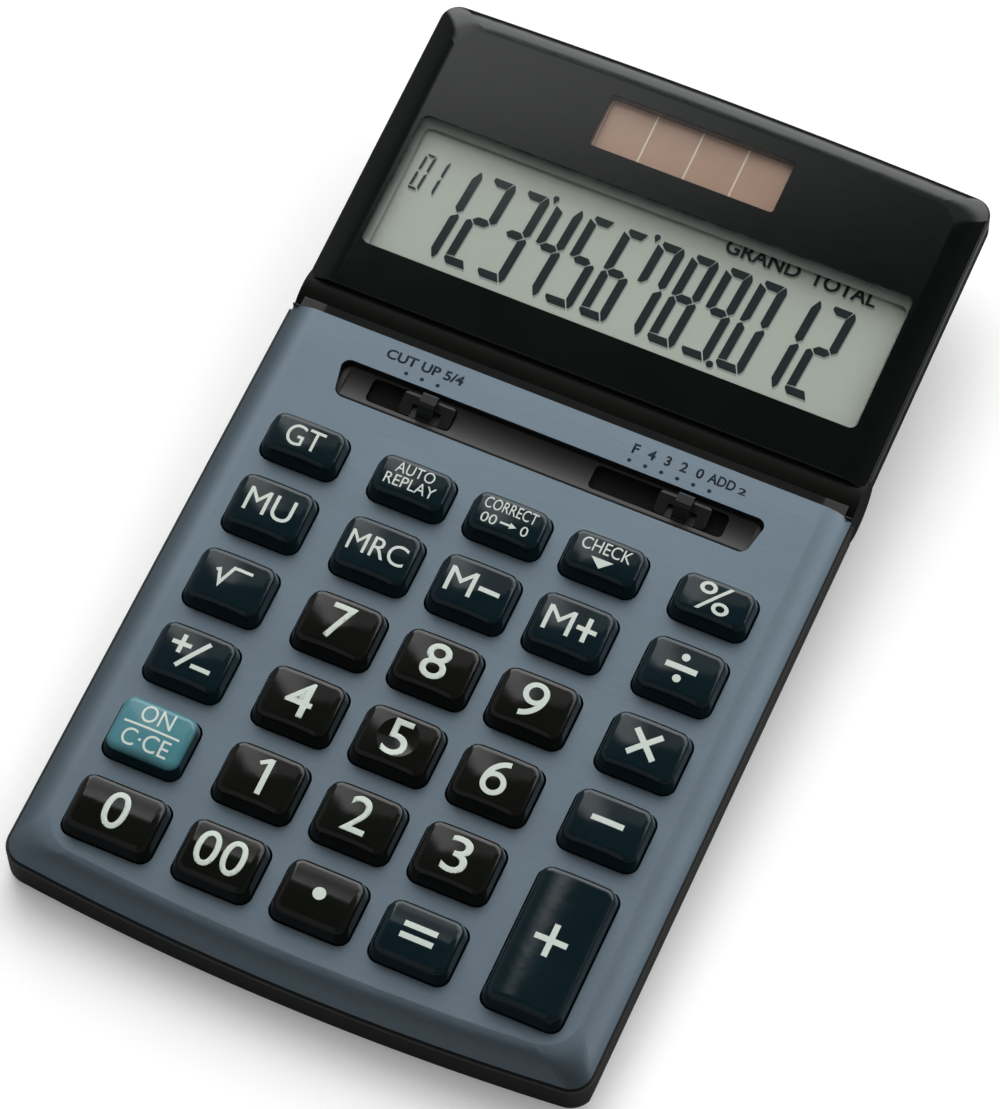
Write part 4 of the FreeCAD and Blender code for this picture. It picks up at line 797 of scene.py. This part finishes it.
def key_legends():
    """The legend of every key, flat and in millimetres, centred on the key's top."""
    legends = {
        "key_zero": digit("0", 4.4, 6.9),
        "key_double_zero": merged([digit("0", 4.2, 6.6, -2.4), digit("0", 4.2, 6.6, 2.4)]),
        "key_decimal_point": outline_mesh([ring(0, 0, 1.15, 1.15)]),
        "key_equals": outline_mesh([bar(-2.98, 0.52, 2.98, 1.55), bar(-2.98, -1.55, 2.98, -0.52)]),
        "key_plus": outline_mesh([cross(2.9, 1.05, 3.05)]),
        "key_minus": outline_mesh([bar(-2.9, -0.52, 2.9, 0.52)]),
        "key_multiply": outline_mesh([spun(cross(3.35, 1.05), 45)]),
        "key_divide": outline_mesh(
            [bar(-2.85, -0.54, 2.85, 0.54), ring(0, 2.1, 0.73, 0.73), ring(0, -2.1, 0.73, 0.73)]
        ),
        "key_percent": words("%", 6.4, 5.5),
        "key_square_root": fitted(outline_mesh(root_sign()), 6.4, 4.67, 0, 0.1),
        "key_sign_change": merged([outline_mesh([loop]) for loop in sign_change()]),
        "key_grand_total": words("GT", 6.67, 4.14),
        "key_memory_markup": words("MU", 8.7, 4.67),
        "key_memory_recall": words("MRC", 10.6, 4.0),
        "key_memory_minus": merged(
            [words("M", 5.0, 4.76, -2.35), outline_mesh([bar(0.95, -0.45, 4.75, 0.4)])]
        ),
        "key_memory_plus": merged(
            [words("M", 5.0, 4.8, -2.15), outline_mesh([shifted(cross(1.8, 0.85, 2.35), 2.9, 0)])]
        ),
        "key_on_clear": merged(
            [
                words("ON", 5.8, 3.2, 0, 2.6),
                outline_mesh([bar(-5.1, -0.05, 5.1, 0.35)]),
                words("C·CE", 8.6, 3.2, 0, -2.35),
            ]
        ),
        "key_auto_replay": merged(
            [words("AUTO", 7.1, 2.15, 0, 1.55), words("REPLAY", 9.4, 2.15, 0, -1.05)]
        ),
        "key_correct": merged(
            [
                words("CORRECT", 9.7, 2.2, 0, 1.55),
                words("00", 2.9, 1.9, -3.0, -1.35),
                words("0", 1.3, 1.9, 3.6, -1.35),
                outline_mesh([arrow()]),
            ]
        ),
        "key_check": merged(
            [
                words("CHECK", 9.1, 2.4, 0, 1.2),
                outline_mesh([[(-2.05, -0.9), (0, -2.75), (2.05, -0.9)]]),
            ]
        ),
    }
    for name, character, width in (
        ("one", "1", 2.5), ("two", "2", 4.3), ("three", "3", 4.3), ("four", "4", 4.9),
        ("five", "5", 4.2), ("six", "6", 4.5), ("seven", "7", 4.3), ("eight", "8", 4.67),
        ("nine", "9", 4.6),
    ):
        legends[f"key_{name}"] = digit(character, width, DIGIT_HEIGHT)
    return legends


def cut_grid(bm, step):
    """Cut a flat bmesh along a grid, so that it can follow a curved surface."""
    for axis in (0, 1):
        low = min(v.co[axis] for v in bm.verts)
        high = max(v.co[axis] for v in bm.verts)
        normal = (ACROSS, BACK)[axis]
        place = low + step / 2
        while place < high:
            bmesh.ops.bisect_plane(
                bm,
                geom=bm.verts[:] + bm.edges[:] + bm.faces[:],
                plane_co=normal * place,
                plane_no=normal,
            )
            place += step


def lay_on(name, bm, base, middle, target, lift, body, material, step=KEY_GRID):
    """Lay flat artwork on a solid: each point drops along the frame's Z onto the solid's mesh."""
    cut_grid(bm, step)
    down = -(base.to_3x3() @ UP)
    tree = BVHTree.FromPolygons(
        [v.co for v in target.data.vertices], [p.vertices for p in target.data.polygons]
    )
    missed = []
    for vert in bm.verts:
        flat = Vector((middle[0] + vert.co.x, middle[1] + vert.co.y, DROP_FROM)) * MM
        hit = tree.ray_cast(base @ flat, down)[0]
        if hit is None:
            missed.append(vert)
            continue
        vert.co = hit - down * lift * MM
    if missed:
        raise RuntimeError(f"{name}: {len(missed)} points of the artwork miss the surface")
    bmesh.ops.recalc_face_normals(bm, faces=bm.faces)
    if sum(f.normal.dot(down) for f in bm.faces) > 0:
        bmesh.ops.reverse_faces(bm, faces=bm.faces)
    obj = link(bpy.data.objects.new(name, mesh_of(name, bm)))
    obj.data.materials.append(material)
    thick = obj.modifiers.new("ink", "SOLIDIFY")
    thick.thickness = INK_THICKNESS * MM
    thick.offset = -1
    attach(obj, body)
    return obj


def top_middle(obj, base, level):
    """The middle of all that a key has above a level, in millimetres of the given frame."""
    inverse = base.inverted()
    points = [inverse @ v.co for v in obj.data.vertices]
    high = [p for p in points if p.z > level * MM]
    xs = [p.x for p in high]
    ys = [p.y for p in high]
    return ((min(xs) + max(xs)) / 2 / MM, (min(ys) + max(ys)) / 2 / MM)


for name, artwork in key_legends().items():
    key = frame["nodes"][name]
    place = top_middle(key, KEYBOARD, KEY_TOP)
    piece = lay_on(name + "_legend", artwork, KEYBOARD, place, key, KEY_INK_LIFT, name, LEGEND_INK)


# Printing beside the two slide switches


def fascia_print(name, bm, x, y):
    """Flat artwork on the fascia, centred on a point of the keyboard frame."""
    plate = frame["nodes"]["fascia_plate"]
    piece = lay_on(
        name, bm, KEYBOARD, (x, y), plate, FASCIA_INK_LIFT, "case", FASCIA_INK, FASCIA_GRID
    )


def dots(count):
    """One dot for each place of a switch."""
    return outline_mesh(
        [ring(SWITCH_STEP * k, 0, DOT_RADIUS, DOT_RADIUS, 20) for k in range(count)]
    )


def label(text, width, x=0.0):
    """A word of the fascia's print."""
    return words(text, width, TEXT_HEIGHT, x, bold=TEXT_BOLD)


places = [label(letter, None, SWITCH_STEP * k) for k, letter in enumerate("F4320")]
addition = [label("ADD", 5.0, 16.1), words("2", 1.5, 1.35, 20.0, -0.35, TEXT_BOLD)]
fascia_print("rounding_scale", label("CUT UP 5/4", 14.6), -26.1, TEXT_Y)
fascia_print("rounding_dots", dots(3), -28.65, DOT_Y)
fascia_print("decimal_scale", merged(places + addition), 13.9, TEXT_Y)
fascia_print("decimal_dots", dots(6), 13.65, DOT_Y)


# The liquid crystal display's content


def crystal(name, bm, level, material, dx=0.0, dy=0.0):
    """Flat artwork, given in the display frame's millimetres, laid on the panel."""
    for vert in bm.verts:
        vert.co = DISPLAY @ (Vector((vert.co.x + dx, vert.co.y + dy, level)) * MM)
    obj = link(bpy.data.objects.new(name, mesh_of(name, bm)))
    obj.data.materials.append(material)
    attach(obj, "display")


def segments(w, h, t, gap, waist):
    """The seven segments of a digit as loops, keyed by their usual letters.

    w and h are half the width and height, t the thickness, and waist the height of the middle bar.
    The top bar owns the top left corner, the bottom bar the bottom left one, and the two
    right-hand segments the corners on their side, all of them cut off.
    """
    cut = 0.45 * t
    m = t / 2
    inner = w - t
    return {
        "a": [
            (-w + cut, h - cut), (-w + 1.1 * cut, h), (w - t * 0.6, h), (inner, h - t),
            (-inner + gap, h - t),
        ],
        "b": [
            (w - t * 0.6 + gap * 1.5, h), (w - cut * 0.5, h - cut * 0.6), (w, h - cut * 1.6),
            (w, waist + m), (w - m, waist + gap), (inner, waist + m + gap),
            (inner, h - t - gap * 1.5),
        ],
        "c": [
            (w - m * 0.6, waist - gap * 0.5), (w, waist - m * 0.7), (w, -h + cut * 1.4),
            (w - cut * 0.6, -h + gap), (w - t * 0.45, -h + gap * 1.5), (inner, -h + t + gap * 1.5),
            (inner, waist - m - gap),
        ],
        "d": [
            (-w, -h + t * 0.95), (inner - gap, -h + t), (w - t * 0.5, -h), (-w + cut * 1.2, -h),
            (-w, -h + cut * 1.3),
        ],
        "e": [
            (-w + m * 0.8, waist - gap * 0.5), (-w, waist - m * 0.7), (-w, -h + t + gap * 0.4),
            (-inner, -h + t + gap * 1.6), (-inner, waist - m - gap),
        ],
        "f": [
            (-w, h - cut - gap), (-inner, h - t - gap), (-inner, waist + m + gap * 1.6),
            (-w + m, waist + gap), (-w, waist + gap * 1.4),
        ],
        "g": [
            (-w + m + gap, waist), (-inner + gap, waist + m), (inner - gap, waist + m),
            (w - m - gap, waist), (inner - gap * 0.5, waist - m), (-inner + gap * 0.5, waist - m),
        ],
    }


LIT = {
    "0": "abcdef", "1": "bc", "2": "abdeg", "3": "abcdg", "4": "bcfg",
    "5": "acdfg", "6": "acdefg", "7": "abcf", "8": "abcdefg", "9": "abcdfg",
}


def seven_segments(number, pitch, x, y, half_width, half_height, thick, gap, waist):
    """The digits of a number, leaning to the right; x and y are the middle of the first one."""
    loops = segments(half_width, half_height, thick, gap, waist)
    return [
        outline_mesh([[(x + pitch * place + px + SLANT * py, y + py) for px, py in loops[letter]]])
        for place, character in enumerate(number)
        for letter in LIT[character]
    ]


def apostrophe(x, y):
    """A round head with a tail that points down and to the left."""
    head = arc(x, y, 0.56, 0.56, -20, 215, 20)
    return [*head, (x - 0.30, y - 0.62), (x - 0.05, y - 1.15), (x + 0.22, y - 0.75)]


def crystal_content():
    """A row of counting digits with its marks and point, a small counter and the title."""
    digits = seven_segments(
        "123456789012", pitch=6.525, x=-36.45, y=24.5, half_width=2.6, half_height=9.5,
        thick=1.6, gap=0.16, waist=0.3,
    )
    counter = seven_segments(
        "01", pitch=2.75, x=-43.62, y=29.9, half_width=1.04, half_height=3.82,
        thick=0.52, gap=0.26, waist=0.0,
    )
    marks = [outline_mesh([apostrophe(x, 34.3)]) for x in (-19.45, 0.12)]
    point = [outline_mesh([ring(18.3, 14.97, 0.68, 0.68, 28)])]
    title = [
        words(text, width, TITLE_HEIGHT, x, TITLE_Y, TITLE_BOLD)
        for text, width, x in (("GRAND", 14.1, 18.95), ("TOTAL", 12.5, 34.3))
    ]
    return merged(digits + counter + marks + point + title)


crystal("crystal_content", crystal_content(), CRYSTAL_Z, CRYSTAL_INK)
crystal("crystal_shadow", crystal_content(), SHADOW_Z, CRYSTAL_SHADOW, *SHADOW_SHIFT)


# A sheet lining the opening in the display's face, with the lit panel's reflection painted on it


def rounded_loop(half_width, front, rear, corner):
    """Points round a rectangle with round corners."""
    out = []
    for x, y, first in (
        (half_width, rear, 0), (-half_width, rear, 90),
        (-half_width, front, 180), (half_width, front, 270),
    ):
        centre_x = x - math.copysign(corner, x)
        centre_y = y - corner if y == rear else y + corner
        out += arc(centre_x, centre_y, corner, corner, first, first + 90, 6)
    return out


def painted_reflection_liner():
    """A liner on the opening's four sloping walls, with a painted reflection of the lit panel: pale below
    and dark above.
    """
    bm = bmesh.new()
    rings = []
    for step in range(PANE_LEVELS + 1):
        level = PANE_LOW + (PANE_HIGH - PANE_LOW) * step / PANE_LEVELS
        inset = PANE_DRAFT * (FACE - level) / PANE_DEPTH + LINER_GAP
        loop = rounded_loop(
            PANE_HALF - inset, PANE_FRONT + inset, PANE_REAR - inset, PANE_CORNER
        )
        rings.append([bm.verts.new(DISPLAY @ (Vector((x, y, level)) * MM)) for x, y in loop])
    for low, high in zip(rings, rings[1:]):
        for k in range(len(low)):
            after = (k + 1) % len(low)
            bm.faces.new((low[k], high[k], high[after], low[after]))
    bmesh.ops.recalc_face_normals(bm, faces=bm.faces)
    obj = link(bpy.data.objects.new("painted_reflection_liner", mesh_of("painted_reflection_liner", bm)))
    for polygon in obj.data.polygons:
        polygon.use_smooth = True
    n = Nodes("painted_reflection_liner")
    # Painted reflection: pale low on the walls, where they would mirror the lit panel, and dark higher up
    reflection_fade = n.step(n.coordinate(DISPLAY, UP), PANE_LOW - 0.8, PANE_HIGH + 0.5)
    haze = n.noise(n.position(), scale=0.5, detail=3.0, roughness=0.5)
    reflection_colour = n.mix(haze, srgb(150, 156, 152), srgb(166, 171, 166))
    n.colour(n.mix(reflection_fade, reflection_colour, srgb(44, 49, 47)))
    n.roughness(n.spread(haze, 0.15, 0.25))
    obj.data.materials.append(n.material)
    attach(obj, "display")


painted_reflection_liner()


# Floor, light and camera


def make_floor():
    """A plain floor, lifted to white for what the camera sees and darker for all other rays."""
    bm = bmesh.new()
    bmesh.ops.create_grid(bm, x_segments=2, y_segments=2, size=FLOOR_HALF)
    floor = link(bpy.data.objects.new("floor", mesh_of("floor", bm)))
    n = Nodes("floor_paper")
    n.set(Roughness=0.9)
    tooth = n.noise(n.position(), scale=0.4, detail=3.0, roughness=0.6)
    rays = n.add("ShaderNodeLightPath")
    paper = n.mix(tooth, srgb(241, 241, 240), srgb(245, 245, 244))
    seen = n.math("ADD", rays.outputs["Is Camera Ray"], rays.outputs["Is Transmission Ray"])
    n.colour(n.mix(seen, srgb(110, 112, 112), paper))
    glow = n.math("MULTIPLY", seen, FLOOR_GLOW)
    n.shader.inputs["Emission Color"].default_value = (1, 1, 1, 1)
    n.link(glow, n.shader.inputs["Emission Strength"])
    floor.data.materials.append(n.material)


def window_light(n, x, y, z, azimuth, elevation):
    """The studio's window: its outline, and how its brightness changes down and across."""
    facing = math.radians(WINDOW_FACING)
    edge = math.radians(WINDOW_EDGE)
    ahead = n.math(
        "ADD", n.math("MULTIPLY", x, math.sin(facing)), n.math("MULTIPLY", y, math.cos(facing))
    )
    below_edge = n.math(
        "SUBTRACT", n.math("MULTIPLY", ahead, math.sin(edge)), n.math("MULTIPLY", z, math.cos(edge))
    )
    sides = n.math(
        "MULTIPLY", n.step(azimuth, *WINDOW_LEFT_SIDE), n.step(azimuth, *WINDOW_RIGHT_SIDE)
    )
    heights = n.math(
        "MULTIPLY", n.step(elevation, *WINDOW_FOOT), n.step(below_edge, *WINDOW_EDGE_BLUR)
    )
    left = n.math("MULTIPLY", n.step(azimuth, *WINDOW_LEFT_PART), WINDOW_LEFT_GAIN)
    near_edge = n.math("MULTIPLY", n.math("ADD", left, WINDOW_MIDDLE_GAIN), WINDOW_TOP_LIGHT)
    right = n.math("MULTIPLY", n.step(azimuth, *WINDOW_RIGHT_PART), WINDOW_RIGHT_LOSS)
    low_down = n.math("MULTIPLY", n.math("SUBTRACT", 1.0, right), WINDOW_LOW_LIGHT)
    depth = n.step(elevation, *WINDOW_LOW_PART)
    change = n.math("MULTIPLY", depth, n.math("SUBTRACT", low_down, near_edge))
    brightness = n.math("ADD", near_edge, change)
    return n.math("MULTIPLY", n.math("MULTIPLY", sides, heights), brightness)


def make_world():
    """A dim room with a wide window behind the object, and white where the camera sees it."""
    world = bpy.data.worlds.new("studio")
    bpy.context.scene.world = world
    world.use_nodes = True
    n = Tree(world.node_tree)

    direction = n.add("ShaderNodeSeparateXYZ")
    n.link(n.add("ShaderNodeTexCoord").outputs["Generated"], direction.inputs["Vector"])
    x, y, z = (direction.outputs[axis] for axis in "XYZ")
    azimuth = n.math("MULTIPLY", n.math("ARCTAN2", x, y), 180 / math.pi)
    elevation = n.math("MULTIPLY", n.math("ARCSINE", z), 180 / math.pi)
    window = window_light(n, x, y, z, azimuth, elevation)
    left_wall = n.math("MULTIPLY", n.step(azimuth, *LEFT_WALL), LEFT_WALL_LIGHT)
    walls = n.math("ADD", left_wall, ROOM_LIGHT)
    room = n.math("MULTIPLY", n.step(elevation, *WALLS_TOP), walls)
    total = n.math("ADD", n.math("ADD", window, room), CEILING_LIGHT)

    background = n.tree.nodes["Background"]
    background.inputs["Color"].default_value = (0.985, 1.0, 0.995, 1)
    n.link(total, background.inputs["Strength"])
    white = n.add("ShaderNodeBackground")
    white.inputs["Color"].default_value = (1, 1, 1, 1)
    mixer = n.add("ShaderNodeMixShader")
    n.link(n.add("ShaderNodeLightPath").outputs["Is Camera Ray"], mixer.inputs["Fac"])
    n.link(background.outputs["Background"], mixer.inputs[1])
    n.link(white.outputs["Background"], mixer.inputs[2])
    n.link(mixer.outputs["Shader"], n.tree.nodes["World Output"].inputs["Surface"])


def make_camera():
    """A camera at the photograph's viewpoint."""
    data = bpy.data.cameras.new("camera")
    data.sensor_fit = "HORIZONTAL"
    data.sensor_width = CAMERA_SENSOR
    data.lens = CAMERA_LENS
    data.clip_start = 0.01
    data.clip_end = 50.0
    camera = link(bpy.data.objects.new("camera", data))
    camera.location = Vector(CAMERA_PLACE) * MM
    camera.rotation_euler = Euler([math.radians(v) for v in CAMERA_TURN], "XYZ")
    bpy.context.scene.camera = camera


def make_lamps():
    """Two large softboxes; the world alone gives what the glossy faces mirror."""
    for name, place, size, power in LAMPS:
        data = bpy.data.lights.new(name, "AREA")
        data.shape = "SQUARE"
        data.size = size
        data.energy = power
        lamp = link(bpy.data.objects.new(name, data))
        lamp.location = place
        lamp.rotation_euler = (-Vector(place)).to_track_quat("-Z", "Y").to_euler()
        lamp.visible_glossy = False


make_floor()
make_world()
make_lamps()
make_camera()
bpy.context.scene.view_settings.view_transform = "Standard"
